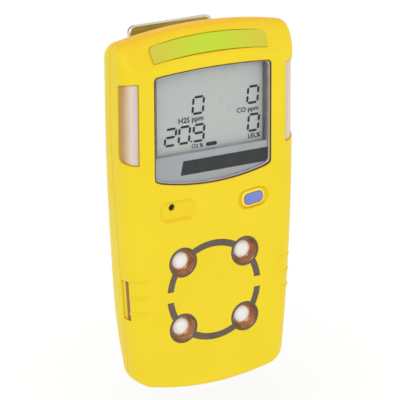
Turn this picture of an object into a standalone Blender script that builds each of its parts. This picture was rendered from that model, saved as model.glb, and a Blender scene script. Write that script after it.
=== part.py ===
"""Portable four-gas detector: a two-shell housing with alarm lenses, display, button, sensors and a clip.

Run it with blender --background --python part.py. Lengths below are millimetres. While a shape is being made,
x runs to the right as someone reads the display, y runs back from the front face and z runs up from the
lowest point of the housing. An empty moves the whole detector so that the clip's grip lies at the world origin.
"""

import math

import bmesh
import bpy
from mathutils import Matrix, Vector

MM = 0.001
GAP = 0.3

# Housing
HEIGHT = 113.6
TOP_HALF_WIDTH = 29.25
TAPER = 3.9
TAPER_START = 74.7
DEPTH = 19.9
THINNING = 7.0
THIN_START = 24.0
WALL = 2.0
PARTING = 10.2
PARTING_ADVANCE = 3.4
PARTING_SLOPE_BOTTOM = 36.0
PARTING_SLOPE_TOP = 90.0
FRONT_EDGE = 5.7
REAR_EDGE = 6.5
CREST_DEPTH = 5.7
CREST_FALL = 8.4
CREST_ROUNDNESS = 1.83
BASE_EDGE = 2.2
BASE_CORNER = 2.8
TOP_CORNER = 2.9
TOP_ARCH_RADIUS = 128.0
BASE_ARCH_RADIUS = 84.0
BROW_DEPTH = 6.3
BROW_SLOPE = 1.6
BROW_SHARPNESS = 1.2
BROW_INSET_SHARE = 0.554
KNEE_DEPTH = 0.9
KNEE_FALL = 0.9

# Display
WINDOW_HALF_WIDTH = 19.7
WINDOW_TOP = 100.7
WINDOW_TOP_RISE = 0.9
WINDOW_BOTTOM = 68.2
WINDOW_BOTTOM_FALL = 2.7
WINDOW_CORNER = 1.2
WINDOW_RECESS = 0.8
WINDOW_THICKNESS = 0.6
FRAME_FLANGE = 0.35
FRAME_FRONT = 2.3
FRAME_BACK = 2.9
LCD_HALF_WIDTH = 17.7
LCD_BOTTOM = 75.4
LCD_TOP = 100.9
PANEL_HALF_WIDTH = 18.5
PANEL_BOTTOM = 73.4
PANEL_TOP = 101.0
PANEL_FRONT = 3.2
PANEL_BACK = 5.2
BACKLIGHT_BACK = 8.4
HOLDER_TOP = 99.4
HOLDER_WALL = 3.0

# Alarm lenses
LENS_RECESS = 0.9
SIDE_LENS_EDGE = 24.7
SIDE_LENS_BACK = 5.4
SIDE_LENS_BOTTOM = 74.3
SIDE_LENS_TOP = 99.5
SIDE_LENS_BACK_FALL = 0.8
SIDE_LENS_BACK_RISE = 1.3
SIDE_LENS_FLAT = 0.6
SIDE_LENS_CORNER = 1.8
TOP_LENS_LOW = (1.5, 105.85)
TOP_LENS_HIGH = (4.65, 110.85)
TOP_LENS_HALF_WIDTHS = (19.2, 19.6)
TOP_LENS_ARCH = (1.3, 1.7)
TOP_LENS_CUT = 3.4
TOP_LENS_THICKNESS = 2.0
LENS_REACH = 9.8

# Sensor ports
RING_HEIGHT = 31.1
RING_RADIUS = 16.0
RING_WIDTH = 2.0
RING_BREAK = 3.45
PORT_OFFSET = 10.6
COLLAR_RADIUS = 4.7
PORT_RADIUS = 3.9
SEAL_DEPTH = 1.0
SEAL_PROUD = 0.1
SENSOR_RADIUS = 8.2
SENSOR_FRONT = 3.1
SENSOR_NECK_RADIUS = 5.0
CARRIER_FRONT = 7.0
CARRIER_BACK = 8.2

# Button and buzzer
BUTTON_X = 13.5
BUTTON_Z = 58.3
BUTTON_TILT = math.radians(6.5)
BUTTON_SIZE = (6.6, 3.7)
BUTTON_CORNER = 1.4
BUTTON_PROUD = 0.5
BUTTON_FLANGE = 0.9
BUTTON_FLANGE_FRONT = 2.4
BUTTON_FLANGE_BACK = 3.2
BUTTON_STEM_RADIUS = 1.2
BUTTON_RECESS_SIZE = (10.3, 5.85)
BUTTON_RECESS_DEPTH = 1.2
BUTTON_RIM_FRONT = 0.2
BUTTON_RIM_BACK = 0.9
BUZZER_X = -13.7
BUZZER_HOLE_Z = 59.4
BUZZER_HOLE_RADIUS = 0.95
BUZZER_PAD_X = -12.1
BUZZER_PAD_Z = 58.4
BUZZER_PAD_SIZE = (10.8, 5.2)
BUZZER_PAD_DEPTH = 1.0
BUZZER_RADIUS = 6.0

# Boards, bosses, screws and the small parts inside
BOARD_FRONT = 12.0
BOSS_END_GAP = 0.5
BOARD_THICKNESS = 1.2
FRONT_BOSS_RADIUS = 2.0
REAR_BOSS_RADIUS = 3.3
POST_RADIUS = 2.2
SCREW_PLACES = ((22.7, 94.0), (23.2, 66.8), (19.0, 8.8))
BOARD_SCREW_HEIGHTS = (58.3, RING_HEIGHT)
SCREW_SEAT = 2.3
SCREW_BITE = 3.7
BOARD_SCREW_TIP = 6.5
CLIP_SCREW_HEIGHTS = (68.8, 80.8)
SWITCH_TOP = 8.2
SWITCH_BODY_FRONT = 9.2
MOTOR_Y = 15.2
MOTOR_Z = 42.0
MOTOR_ENDS = (-20.0, -10.0)
MOTOR_RADIUS = 1.7
WEIGHT_ENDS = (-9.0, -6.0)
BATTERY_Z = 80.4
BATTERY_SIZE = (34.0, 35.6)
BATTERY_FRONT = 13.9
BATTERY_BACK = 17.4
IR_HEIGHT = 24.0
IR_RADIUS = 2.5

# Gasket groove, half of it in each shell's rim
GROOVE_INSET = 0.8
GROOVE_DEPTH = 0.75

# Docking slots and grip ribs on the sides
SLOT_BOTTOM = 24.9
SLOT_TOP = 37.7
SLOT_FRONT = 3.0
SLOT_LEDGE = 5.3
SLOT_LEDGE_DEPTH = 0.8
SLOT_END_DEPTH = 0.35
SLOT_DEPTH = 2.0

# Charging port
PORT_HALF_WIDTH = 5.0
PORT_FRONT = 8.2
PORT_BACK = 12.2
PORT_BOTTOM = 2.1
PORT_TOP = 9.0

# Clip
CLIP_PIN_Y = 24.5
CLIP_PIN_Z = 90.8
CLIP_PIN_RADIUS = 1.1
CLIP_SHEET = 1.0
CLIP_THUMB_HALF_WIDTH = 14.2
CLIP_CORNER = 2.2
CLIP_JAW_HALF_WIDTH = 9.4
CLIP_BENDS = (
    (28.4, 18.0), (27.9, 15.8), (27.3, 8.0), (28.1, 2.5), (28.1, -2.0), (26.4, -14.0), (25.0, -24.0),
)
SPRING_LEGS = (3.4, 6.6)
BRACKET_HALF_WIDTH = 8.0
BRACKET_BOTTOM = 58.8
BRACKET_TOP = 97.8
GRIP = Vector((0.0, 22.2, 61.3))


def clear_scene():
    for item in list(bpy.data.objects):
        bpy.data.objects.remove(item)


def make_material(name, colour, roughness, metallic=0.0, transmission=0.0):
    material = bpy.data.materials.new(name)
    material.use_nodes = True
    shader = material.node_tree.nodes["Principled BSDF"]
    shader.inputs["Base Color"].default_value = (*colour, 1.0)
    shader.inputs["Roughness"].default_value = roughness
    shader.inputs["Metallic"].default_value = metallic
    shader.inputs["Transmission Weight"].default_value = transmission
    material.diffuse_color = (*colour, 1.0)
    return material


class Detector:
    """The scene's objects under one empty, and the materials that they share."""

    def __init__(self):
        self.root = bpy.data.objects.new("detector", None)
        self.root.location = -GRIP * MM
        bpy.context.scene.collection.objects.link(self.root)
        self.yellow = make_material("yellow_plastic", (0.90, 0.69, 0.05), 0.35)
        self.clear = make_material("clear_window", (0.85, 0.87, 0.88), 0.05, transmission=0.9)
        self.printed = make_material("printed_frame", (0.33, 0.33, 0.34), 0.3, 0.4)
        self.lcd = make_material("lcd_glass", (0.48, 0.49, 0.46), 0.25)
        self.white = make_material("white_diffuser", (0.85, 0.85, 0.82), 0.5)
        self.lit_lens = make_material("lit_lens", (0.58, 0.74, 0.05), 0.3)
        self.frosted_lens = make_material("frosted_lens", (0.68, 0.55, 0.48), 0.35)
        self.board = make_material("circuit_board", (0.02, 0.16, 0.07), 0.4)
        self.button = make_material("button_rubber", (0.21, 0.24, 0.62), 0.5)
        self.yellow_rubber = make_material("yellow_rubber", (0.92, 0.72, 0.07), 0.6)
        self.seal = make_material("seal_rubber", (0.24, 0.18, 0.13), 0.7)
        self.black = make_material("black_plastic", (0.02, 0.02, 0.02), 0.4)
        self.silver = make_material("steel", (0.62, 0.60, 0.58), 0.18, 1.0)
        self.brass = make_material("brass", (0.75, 0.55, 0.22), 0.25, 1.0)
        self.filter = make_material("white_filter", (0.86, 0.83, 0.82), 0.7)
        self.cell = make_material("sensor_can", (0.30, 0.30, 0.31), 0.35, 0.6)
        self.foil = make_material("battery_foil", (0.55, 0.56, 0.58), 0.35, 0.8)
        self.red = make_material("infrared_window", (0.10, 0.01, 0.02), 0.1)

    def add(self, name, mesh_builder, material, pivot=(0.0, 0.0, 0.0)):
        """Turns a bmesh in millimetres into an object whose origin lies at pivot."""
        bmesh.ops.translate(mesh_builder, verts=mesh_builder.verts, vec=-Vector(pivot))
        bmesh.ops.scale(mesh_builder, verts=mesh_builder.verts, vec=(MM, MM, MM))
        bmesh.ops.recalc_face_normals(mesh_builder, faces=mesh_builder.faces)
        mesh = bpy.data.meshes.new(name)
        mesh_builder.to_mesh(mesh)
        mesh_builder.free()
        item = bpy.data.objects.new(name, mesh)
        item.parent = self.root
        item.location = Vector(pivot) * MM
        bpy.context.scene.collection.objects.link(item)
        if material:
            mesh.materials.append(material)
        return item

    def cut(self, target, mesh_builder, operation="DIFFERENCE"):
        """Cuts the bmesh from target, or joins it or keeps what they share, through a hidden helper."""
        step = len(target.modifiers) + 1
        helper = self.add(f"{target.name}_helper_{step}", mesh_builder, None)
        helper.hide_render = True
        helper.display_type = "WIRE"
        modifier = target.modifiers.new(f"{operation.lower()}_{step}", "BOOLEAN")
        modifier.operation = operation
        modifier.object = helper


def smooth(item):
    """Shades a round piece smooth, and keeps its corners sharp."""
    for face in item.data.polygons:
        face.use_smooth = True
    item.data.set_sharp_from_angle(angle=math.radians(35))


# Basic shapes in millimetres


def box(bm, low, high):
    """A box between two corners."""
    size = [b - a for a, b in zip(low, high)]
    middle = [(a + b) / 2 for a, b in zip(low, high)]
    made = bmesh.ops.create_cube(bm, size=1.0)["verts"]
    bmesh.ops.scale(bm, verts=made, vec=size)
    bmesh.ops.translate(bm, verts=made, vec=middle)
    return bm


def rod(bm, start, end, radius, sides=24, end_radius=None):
    """A cylinder or a cone between two points."""
    start = Vector(start)
    end = Vector(end)
    along = end - start
    turn = Vector((0, 0, 1)).rotation_difference(along.normalized()).to_matrix().to_4x4()
    bmesh.ops.create_cone(
        bm,
        cap_ends=True,
        segments=sides,
        radius1=radius,
        radius2=radius if end_radius is None else end_radius,
        depth=along.length,
        matrix=Matrix.Translation((start + end) / 2) @ turn,
    )
    return bm


def pin_back(bm, x, z, front, back, radius, sides=24):
    """A cylinder that runs straight back from the display side."""
    return rod(bm, (x, front, z), (x, back, z), radius, sides)


def prism(bm, outline, axis, low, high):
    """A closed outline, extruded along the axis "x", "y" or "z". Its points are (y, z), (x, z) or (x, y)."""
    place = {
        "x": lambda u, v, w: (w, u, v),
        "y": lambda u, v, w: (u, w, v),
        "z": lambda u, v, w: (u, v, w),
    }[axis]
    face = bm.faces.new([bm.verts.new(place(u, v, low)) for u, v in outline])
    moved = bmesh.ops.extrude_face_region(bm, geom=[face])["geom"]
    corners = [item for item in moved if isinstance(item, bmesh.types.BMVert)]
    bmesh.ops.translate(bm, verts=corners, vec=place(0, 0, high - low))
    return bm


def button_shape(width, height, radius):
    """A tilted lozenge about the button's centre."""
    return lozenge(BUTTON_X, BUTTON_Z, width, height, radius, 5, BUTTON_TILT)


def mirrored(half):
    """A half outline from bottom centre to top centre, made whole."""
    return half + [(-x, z) for x, z in reversed(half) if x > 1e-9]


def lozenge(x, z, width, height, radius, steps=5, tilt=0.0):
    """A rectangle with round corners about a centre, turned by tilt, as (x, z) points."""
    points = []
    for corner, (right, up) in enumerate(((1, 1), (-1, 1), (-1, -1), (1, -1))):
        for step in range(steps + 1):
            angle = math.pi / 2 * (corner + step / steps)
            across = right * (width / 2 - radius) + radius * math.cos(angle)
            along = up * (height / 2 - radius) + radius * math.sin(angle)
            points.append((
                x + across * math.cos(tilt) - along * math.sin(tilt),
                z + across * math.sin(tilt) + along * math.cos(tilt),
            ))
    return points


def new():
    return bmesh.new()


# The housing's own shape


def half_width(z):
    fall = max(0.0, (TAPER_START - z) / TAPER_START)
    return TOP_HALF_WIDTH - TAPER * fall**2


def seam(z):
    """The depth of the parting line, which lies further forward on the lower half."""
    share = min(1.0, max(0.0, (PARTING_SLOPE_TOP - z) / (PARTING_SLOPE_TOP - PARTING_SLOPE_BOTTOM)))
    return PARTING - PARTING_ADVANCE * share * share * (3 - 2 * share)


def before_seam(depth, z):
    """Squeezes the depths behind the rounded front edge, so that PARTING comes to lie on the seam."""
    if depth <= FRONT_EDGE:
        return depth
    return FRONT_EDGE + (depth - FRONT_EDGE) * (seam(z) - FRONT_EDGE) / (PARTING - FRONT_EDGE)


def rear_depth(z):
    fall = max(0.0, (THIN_START - z) / THIN_START)
    return DEPTH - THINNING * fall**1.5


def quarter(radius, depth):
    """How far a rounded edge of this radius still stands in, at a depth behind the front face."""
    if radius <= 0 or depth >= radius:
        return 0.0
    return radius - math.sqrt(radius**2 - (radius - max(depth, 0.0)) ** 2)


def brow_drop(depth):
    """How far the sloping brow lies below the top of the housing, fading out behind BROW_DEPTH."""
    reach = BROW_SLOPE * (BROW_DEPTH - depth)
    return math.log(1 + math.exp(BROW_SHARPNESS * reach)) / BROW_SHARPNESS


def crest_fall(depth):
    """How far the top falls away behind its crest, down to the back face."""
    reach = min(1.0, max(0.0, (depth - CREST_DEPTH) / (DEPTH - CREST_DEPTH)))
    return CREST_FALL * (1 - (1 - reach**CREST_ROUNDNESS) ** (1 / CREST_ROUNDNESS))


def top_drop(depth):
    """How far the top of a section lies below HEIGHT, from the brow and the crest together."""
    return brow_drop(depth) + crest_fall(depth)


def knee_fall(depth):
    """How much lower the brow lies where it rounds over into the front face."""
    return KNEE_FALL * max(0.0, 1 - depth / KNEE_DEPTH) ** 2


def rounded_corner(start, corner, end, steps):
    """Points of a rounded corner, without its two ends."""
    hold = 0.5523
    start, corner, end = Vector(start), Vector(corner), Vector(end)
    first = start.lerp(corner, hold)
    second = end.lerp(corner, hold)
    points = []
    for step in range(1, steps):
        t = step / steps
        s = 1 - t
        point = start * s**3 + first * 3 * s**2 * t + second * 3 * s * t**2 + end * t**3
        points.append((point.x, point.y))
    return points


def half_section(side, drop, rise, inset, steps=(6, 4, 7, 4, 6)):
    """The right half of a section of the housing, as (x, z) from bottom centre to top centre."""

    def bottom(x):
        return rise + x * x / (2 * BASE_ARCH_RADIUS)

    def top(x):
        return HEIGHT - drop - x * x / (2 * TOP_ARCH_RADIUS)

    def edge(z):
        return half_width(z) - side

    base_steps, low_steps, side_steps, high_steps, top_steps = steps
    low_radius = max(BASE_CORNER - inset, 2.0)
    high_radius = max(TOP_CORNER - inset, 2.0)
    base_end = edge(rise) - low_radius
    top_end = edge(HEIGHT) - high_radius
    side_low = bottom(edge(rise)) + low_radius
    side_high = top(edge(HEIGHT)) - high_radius
    points = [(base_end * i / base_steps, bottom(base_end * i / base_steps)) for i in range(base_steps + 1)]
    points += rounded_corner(
        points[-1],
        (edge(rise), bottom(edge(rise))),
        (edge(side_low), side_low),
        low_steps,
    )
    for i in range(side_steps + 1):
        z = side_low + (side_high - side_low) * i / side_steps
        points.append((edge(z), z))
    points += rounded_corner(
        points[-1],
        (edge(HEIGHT), top(edge(HEIGHT))),
        (top_end, top(top_end)),
        high_steps,
    )
    for i in range(top_steps + 1):
        x = top_end * (1 - i / top_steps)
        points.append((x, top(x)))
    return points


def front_sections(inset, depths):
    """Sections of the front shell's outside, moved in by inset, at these depths."""
    rows = []
    for depth in depths:
        side = inset + quarter(FRONT_EDGE - inset, depth - inset)
        rise = inset + quarter(BASE_EDGE - inset, depth - inset)
        slope = brow_drop(depth - BROW_INSET_SHARE * inset)
        drop = inset + slope + crest_fall(depth) + knee_fall(depth - inset)
        half = half_section(side, drop, rise, inset)
        rows.append([Vector((x, before_seam(depth, z), z)) for x, z in half])
    return rows


def rim_section(inset, offset):
    """The section that both shells share, moved in by inset, at an offset behind the parting line."""
    half = half_section(inset, inset + top_drop(PARTING), inset, inset)
    return [Vector((x, seam(z) + offset, z)) for x, z in half]


def rear_sections(inset, offset, turns=(0, 14, 28, 42, 58, 74, 90)):
    """Sections of the rear shell, moved in by inset, from an offset behind the parting line to the back."""
    rows = []
    for turn in turns:
        curl = 1 - math.cos(math.radians(turn))
        share = math.sin(math.radians(turn))
        side = inset + (REAR_EDGE - inset) * curl
        rise = inset + (REAR_EDGE - inset) * 0.5 * curl
        start = PARTING + offset
        drop = inset + top_drop(start + (DEPTH - start) * share) * (1 - inset / CREST_FALL)
        row = []
        for x, z in half_section(side, drop, rise, inset):
            start = seam(z) + offset
            row.append(Vector((x, start + (rear_depth(z) - inset - start) * share, z)))
        rows.append(row)
    return rows


def loft(bm, rows):
    """A closed body through half sections that each mirror in x, with ruled ends."""
    rings = []
    for row in rows:
        right = [bm.verts.new(point) for point in row]
        left = [bm.verts.new((-point.x, point.y, point.z)) for point in row[1:-1]]
        rings.append(right + left[::-1])
    count = len(rings[0])
    for near, far in zip(rings, rings[1:]):
        for i in range(count):
            j = (i + 1) % count
            bm.faces.new((near[i], near[j], far[j], far[i]))
    for ring in (rings[0], rings[-1]):
        for i in range(len(rows[0]) - 1):
            corners = (ring[i], ring[i + 1], ring[-i - 1], ring[-i] if i else None)
            bm.faces.new(list(dict.fromkeys(corner for corner in corners if corner)))
    return bm


def window_outline(grow):
    """The display opening, as (x, z) points: straight sides, and an arched top and bottom."""
    half = WINDOW_HALF_WIDTH + grow
    low = WINDOW_BOTTOM - grow
    high = WINDOW_TOP + grow
    points = [(0.0, low - WINDOW_BOTTOM_FALL)]
    for share in (0.25, 0.5, 0.75):
        points.append((half * share, low - WINDOW_BOTTOM_FALL * (1 - share**2)))
    points.append((half - WINDOW_CORNER, low - 0.1))
    points += rounded_corner(points[-1], (half, low), (half, low + WINDOW_CORNER), 3)
    points.append((half, low + WINDOW_CORNER))
    points.append((half, high - WINDOW_CORNER))
    points += rounded_corner(points[-1], (half, high), (half - WINDOW_CORNER, high + 0.1), 3)
    points.append((half - WINDOW_CORNER, high + 0.1))
    for share in (0.75, 0.5, 0.25):
        points.append((half * share, high + WINDOW_TOP_RISE * (1 - share**2)))
    points.append((0.0, high + WINDOW_TOP_RISE))
    return mirrored(points)


def side_lens_outline(grow):
    """The side lens as (y, z) points: its edge on the side face is shorter than its front edge."""
    back = SIDE_LENS_BACK + grow
    front = -2.0
    low = SIDE_LENS_BOTTOM - grow
    high = SIDE_LENS_TOP + grow
    back_low = low + SIDE_LENS_BACK_RISE
    back_high = high - SIDE_LENS_BACK_FALL
    corner_end = back_low + 0.7 * SIDE_LENS_CORNER
    outline = [(front, low), (SIDE_LENS_FLAT, low)]
    corner_start = (back - SIDE_LENS_CORNER, back_low - 0.5)
    outline += rounded_corner(corner_start, (back, back_low), (back, corner_end), 4)
    outline += [(back, corner_end), (back, back_high - 0.4), (back - 0.4, back_high)]
    outline += [(SIDE_LENS_FLAT, high), (front, high)]
    return outline


def top_lens_block(bm, grow, out, down):
    """The top lens: an arched strip on the sloping brow, from out above the brow to down below it."""
    low = Vector((0.0, *TOP_LENS_LOW))
    high = Vector((0.0, *TOP_LENS_HIGH))
    up = (high - low).normalized()
    normal = Vector((0.0, -up.z, up.y))
    low -= up * grow
    high += up * grow
    steps = 8
    rows = []
    for height in (out, -down):
        row = []
        for (start, half, arch) in zip((low, high), TOP_LENS_HALF_WIDTHS, TOP_LENS_ARCH):
            across = range(-steps, steps + 1) if start is low else range(steps, -steps - 1, -1)
            for i in across:
                share = i / steps
                point = start + Vector(((half + grow) * share, 0, 0)) - up * (arch * share**2)
                row.append(bm.verts.new(point + normal * height))
        rows.append(row)
    near, far = rows
    count = len(near)
    bm.faces.new(near)
    bm.faces.new(far)
    for i in range(count):
        j = (i + 1) % count
        bm.faces.new((near[i], near[j], far[j], far[i]))
    return bm


def seal_outline(side, grow):
    """Half of the sensor ring's arc, as (x, z) points. side is 1 for the upper half and -1 for the lower."""
    outer = RING_RADIUS + grow
    inner = RING_RADIUS - RING_WIDTH - grow
    steps = 24
    points = []
    for radius, order in ((outer, range(steps + 1)), (inner, range(steps, -1, -1))):
        start = math.asin((RING_BREAK / 2 - grow) / radius)
        for i in order:
            angle = start + (math.pi - 2 * start) * i / steps
            points.append((radius * math.cos(angle), RING_HEIGHT + side * radius * math.sin(angle)))
    return points


def slot_outline(side):
    """The docking slot as (x, y) points: deep behind its front wall, then a ledge back to the parting line."""
    face = half_width((SLOT_BOTTOM + SLOT_TOP) / 2)
    outside = side * (TOP_HALF_WIDTH + 5)
    return [
        (outside, SLOT_FRONT),
        (side * (face - SLOT_DEPTH), SLOT_FRONT),
        (side * (face - SLOT_DEPTH), SLOT_FRONT + 0.5),
        (side * (face - SLOT_LEDGE_DEPTH), SLOT_LEDGE),
        (side * (face - SLOT_END_DEPTH), PARTING),
        (outside, PARTING),
    ]


def port_places(side):
    return [(x, RING_HEIGHT + side * PORT_OFFSET) for x in (-PORT_OFFSET, PORT_OFFSET)]


# Housing parts


def front_shell(detector):
    outside = front_sections(0.0, (0.0, 0.35, 1.1, 2.3, 3.9, FRONT_EDGE, 8.0, 9.2))
    rim = [
        rim_section(0.0, -GAP / 2),
        rim_section(GROOVE_INSET, -GAP / 2),
        rim_section(GROOVE_INSET, -GROOVE_DEPTH),
        rim_section(WALL, -GROOVE_DEPTH),
    ]
    inside = front_sections(WALL, (FRONT_EDGE, 3.8, 2.6, WALL))
    shell = detector.add("front_shell", loft(new(), outside + rim + inside), detector.yellow)
    bosses = new()
    for x, z in SCREW_PLACES:
        for side in (-1, 1):
            pin_back(bosses, side * x, z, WALL - 0.5, seam(z) - BOSS_END_GAP, FRONT_BOSS_RADIUS, 16)
    detector.cut(shell, bosses, "UNION")
    posts = new()
    for z in BOARD_SCREW_HEIGHTS:
        pin_back(posts, 0, z, WALL - 0.5, BOARD_FRONT - GAP, POST_RADIUS, 16)
    detector.cut(shell, posts, "UNION")
    openings = new()
    prism(openings, window_outline(0.0), "y", -2, WALL + 1)
    for side in (-1, 1):
        ends = sorted((side * SIDE_LENS_EDGE, side * (TOP_HALF_WIDTH + 5)))
        prism(openings, side_lens_outline(0.0), "x", *ends)
        prism(openings, slot_outline(side), "z", SLOT_BOTTOM, SLOT_TOP)
        for x, z in port_places(side):
            pin_back(openings, x, z, -2, WALL + 1, PORT_RADIUS)
        for x, z in SCREW_PLACES:
            pin_back(openings, side * x, z, screw_tip(z) - 0.5, seam(z), 1.2, 12)
    pin_back(openings, BUZZER_X, BUZZER_HOLE_Z, -2, WALL + 1, BUZZER_HOLE_RADIUS, 16)
    for z in BOARD_SCREW_HEIGHTS:
        pin_back(openings, 0, z, BOARD_SCREW_TIP - 1, BOARD_FRONT + 1, 1.0, 12)
    detector.cut(shell, openings)
    detector.cut(shell, top_lens_block(new(), 0.0, 3.0, TOP_LENS_CUT))
    recesses = new()
    width, height = BUTTON_RECESS_SIZE
    prism(recesses, button_shape(width, height, height / 2 - 0.01), "y", -2, BUTTON_RECESS_DEPTH)
    width, height = BUZZER_PAD_SIZE
    prism(recesses, lozenge(BUZZER_PAD_X, BUZZER_PAD_Z, width, height, 1.8), "y", -2, BUZZER_PAD_DEPTH)
    for side in (1, -1):
        prism(recesses, seal_outline(side, GAP), "y", -2, SEAL_DEPTH + 0.2)
    detector.cut(shell, recesses)
    collars = new()
    for side in (1, -1):
        for x, z in port_places(side):
            pin_back(collars, x, z, -2, SEAL_DEPTH + 0.3, COLLAR_RADIUS + GAP)
    detector.cut(shell, collars)
    stem = new()
    width, height = BUTTON_SIZE
    prism(stem, button_shape(width + 2 * GAP, height + 2 * GAP, BUTTON_CORNER + GAP), "y", -1, WALL + 1)
    detector.cut(shell, stem)
    smooth(shell)


def gasket_ring(bm, outer_inset, inner_inset, reach):
    """A flat ring that follows the parting line, between two insets."""
    levels = []
    for offset in (-reach, reach):
        level = []
        for inset in (outer_inset, inner_inset):
            half = rim_section(inset, offset)
            other = [Vector((-point.x, point.y, point.z)) for point in half[1:-1]]
            level.append([bm.verts.new(point) for point in half + other[::-1]])
        levels.append(level)
    (near_out, near_in), (far_out, far_in) = levels
    count = len(near_out)
    for i in range(count):
        j = (i + 1) % count
        bm.faces.new((near_out[i], near_out[j], near_in[j], near_in[i]))
        bm.faces.new((far_out[i], far_in[i], far_in[j], far_out[j]))
        bm.faces.new((near_out[i], far_out[i], far_out[j], near_out[j]))
        bm.faces.new((near_in[i], near_in[j], far_in[j], far_in[i]))
    return bm


def shell_gasket(detector):
    ring = gasket_ring(new(), GROOVE_INSET + GAP, WALL - 0.1, GROOVE_DEPTH - GAP)
    detector.add("shell_gasket", ring, detector.seal)


def rear_shell(detector):
    outside = rear_sections(0.0, GAP / 2)
    rim = [
        rim_section(GROOVE_INSET, GAP / 2),
        rim_section(GROOVE_INSET, GROOVE_DEPTH),
    ]
    inside = rear_sections(WALL, GROOVE_DEPTH)
    shell = detector.add("rear_shell", loft(new(), outside[::-1] + rim + inside), detector.yellow)
    bosses = new()
    for x, z in SCREW_PLACES:
        for side in (-1, 1):
            back = rear_depth(z) - WALL + 0.5
            pin_back(bosses, side * x, z, seam(z) + BOSS_END_GAP, back, REAR_BOSS_RADIUS, 16)
    detector.cut(shell, bosses, "UNION")
    holes = new()
    for x, z in SCREW_PLACES:
        for side in (-1, 1):
            pin_back(holes, side * x, z, seam(z) - 1, screw_seat(z) + 0.4, 1.2, 12)
    pin_back(holes, 0, IR_HEIGHT, PARTING, DEPTH + 2, IR_RADIUS + GAP, 16)
    box(holes, (-PORT_HALF_WIDTH - GAP, PORT_FRONT - GAP, -2), (PORT_HALF_WIDTH + GAP, PORT_BACK + GAP, 5.0))
    for z in CLIP_SCREW_HEIGHTS:
        pin_back(holes, 0, z, DEPTH - WALL - 1, DEPTH + 1, 1.2, 12)
    detector.cut(shell, holes)
    seats = new()
    for x, z in SCREW_PLACES:
        for side in (-1, 1):
            pin_back(seats, side * x, z, screw_seat(z), DEPTH + 3, 2.3, 16)
    detector.cut(shell, seats)
    smooth(shell)


def screw_seat(z):
    """The depth of a housing screw's seat, well below the back face."""
    return rear_depth(z) - SCREW_SEAT


def screw_tip(z):
    return seam(z) - SCREW_BITE


def screw(detector, name, x, z, head_front, tip, head_radius, shaft_radius, head_height=1.3):
    """A cross-head screw driven from behind: its head lies behind head_front."""
    bm = new()
    pin_back(bm, x, z, head_front, head_front + head_height, head_radius, 20)
    item = detector.add(name, bm, detector.silver)
    detector.cut(item, pin_back(new(), x, z, tip, head_front + head_height / 2, shaft_radius, 12), "UNION")
    cross = new()
    back = head_front + head_height
    arm = head_radius * 0.55
    prism(cross, [
        (x + 0.3, z + 0.3), (x + 0.3, z + arm), (x - 0.3, z + arm), (x - 0.3, z + 0.3),
        (x - arm, z + 0.3), (x - arm, z - 0.3), (x - 0.3, z - 0.3), (x - 0.3, z - arm),
        (x + 0.3, z - arm), (x + 0.3, z - 0.3), (x + arm, z - 0.3), (x + arm, z + 0.3),
    ], "y", back - 0.6, back + 1)
    detector.cut(item, cross)
    smooth(item)


def screws(detector):
    number = 0
    for x, z in SCREW_PLACES:
        for side in (-1, 1):
            number += 1
            seat = screw_seat(z) + GAP
            screw(detector, f"housing_screw_{number}", side * x, z, seat, screw_tip(z), 2.0, 0.9)
    for number, z in enumerate(BOARD_SCREW_HEIGHTS, 1):
        seat = BOARD_FRONT + BOARD_THICKNESS + GAP
        screw(detector, f"board_screw_{number}", 0, z, seat, BOARD_SCREW_TIP, 1.7, 0.7, 1.0)
    for number, z in enumerate(CLIP_SCREW_HEIGHTS, 1):
        seat = DEPTH + 2 * GAP + CLIP_SHEET
        screw(detector, f"clip_screw_{number}", 0, z, seat, DEPTH - WALL, 1.8, 0.9, 0.9)


def lenses(detector):
    depths = (LENS_RECESS, 1.2, 1.8, 2.6, 3.9, FRONT_EDGE, LENS_REACH)
    for name, side in (("left_alarm_lens", -1), ("right_alarm_lens", 1)):
        lens = detector.add(name, loft(new(), front_sections(LENS_RECESS, depths)), detector.frosted_lens)
        ends = sorted((side * (SIDE_LENS_EDGE + GAP), side * (TOP_HALF_WIDTH + 5)))
        detector.cut(lens, prism(new(), side_lens_outline(-GAP), "x", *ends), "INTERSECT")
        smooth(lens)
    lens = detector.add("top_alarm_lens", loft(new(), front_sections(LENS_RECESS, depths)), detector.lit_lens)
    block = top_lens_block(new(), -GAP, 3.0, LENS_RECESS + TOP_LENS_THICKNESS)
    detector.cut(lens, block, "INTERSECT")
    smooth(lens)


# Display


def display(detector):
    front = WINDOW_RECESS
    back = WINDOW_RECESS + WINDOW_THICKNESS
    detector.add("display_window", prism(new(), window_outline(-GAP), "y", front, back), detector.clear)
    flange = prism(new(), window_outline(FRAME_FLANGE), "y", FRAME_FRONT, FRAME_BACK)
    frame = detector.add("display_frame", flange, detector.printed)
    detector.cut(frame, prism(new(), window_outline(-GAP), "y", back + GAP, FRAME_FRONT + 0.2), "UNION")
    opening = box(new(), (-LCD_HALF_WIDTH, front, LCD_BOTTOM), (LCD_HALF_WIDTH, FRAME_BACK + 1, LCD_TOP))
    detector.cut(frame, opening)
    half = PANEL_HALF_WIDTH
    panel = box(new(), (-half, PANEL_FRONT, PANEL_BOTTOM), (half, PANEL_BACK, PANEL_TOP))
    detector.add("display_panel", panel, detector.lcd)
    lit = half - GAP
    light = box(new(), (-lit, PANEL_BACK + GAP, PANEL_BOTTOM + GAP), (lit, BACKLIGHT_BACK, PANEL_TOP - GAP))
    detector.add("backlight", light, detector.white)
    block = box(new(), (-half, BACKLIGHT_BACK + GAP, PANEL_BOTTOM), (half, BOARD_FRONT - GAP, HOLDER_TOP))
    holder = detector.add("display_holder", block, detector.black)
    inside = half - HOLDER_WALL
    low, high = PANEL_BOTTOM + HOLDER_WALL, HOLDER_TOP - HOLDER_WALL
    detector.cut(holder, box(new(), (-inside, BACKLIGHT_BACK - 1, low), (inside, BOARD_FRONT + 1, high)))


# Electronics


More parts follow.
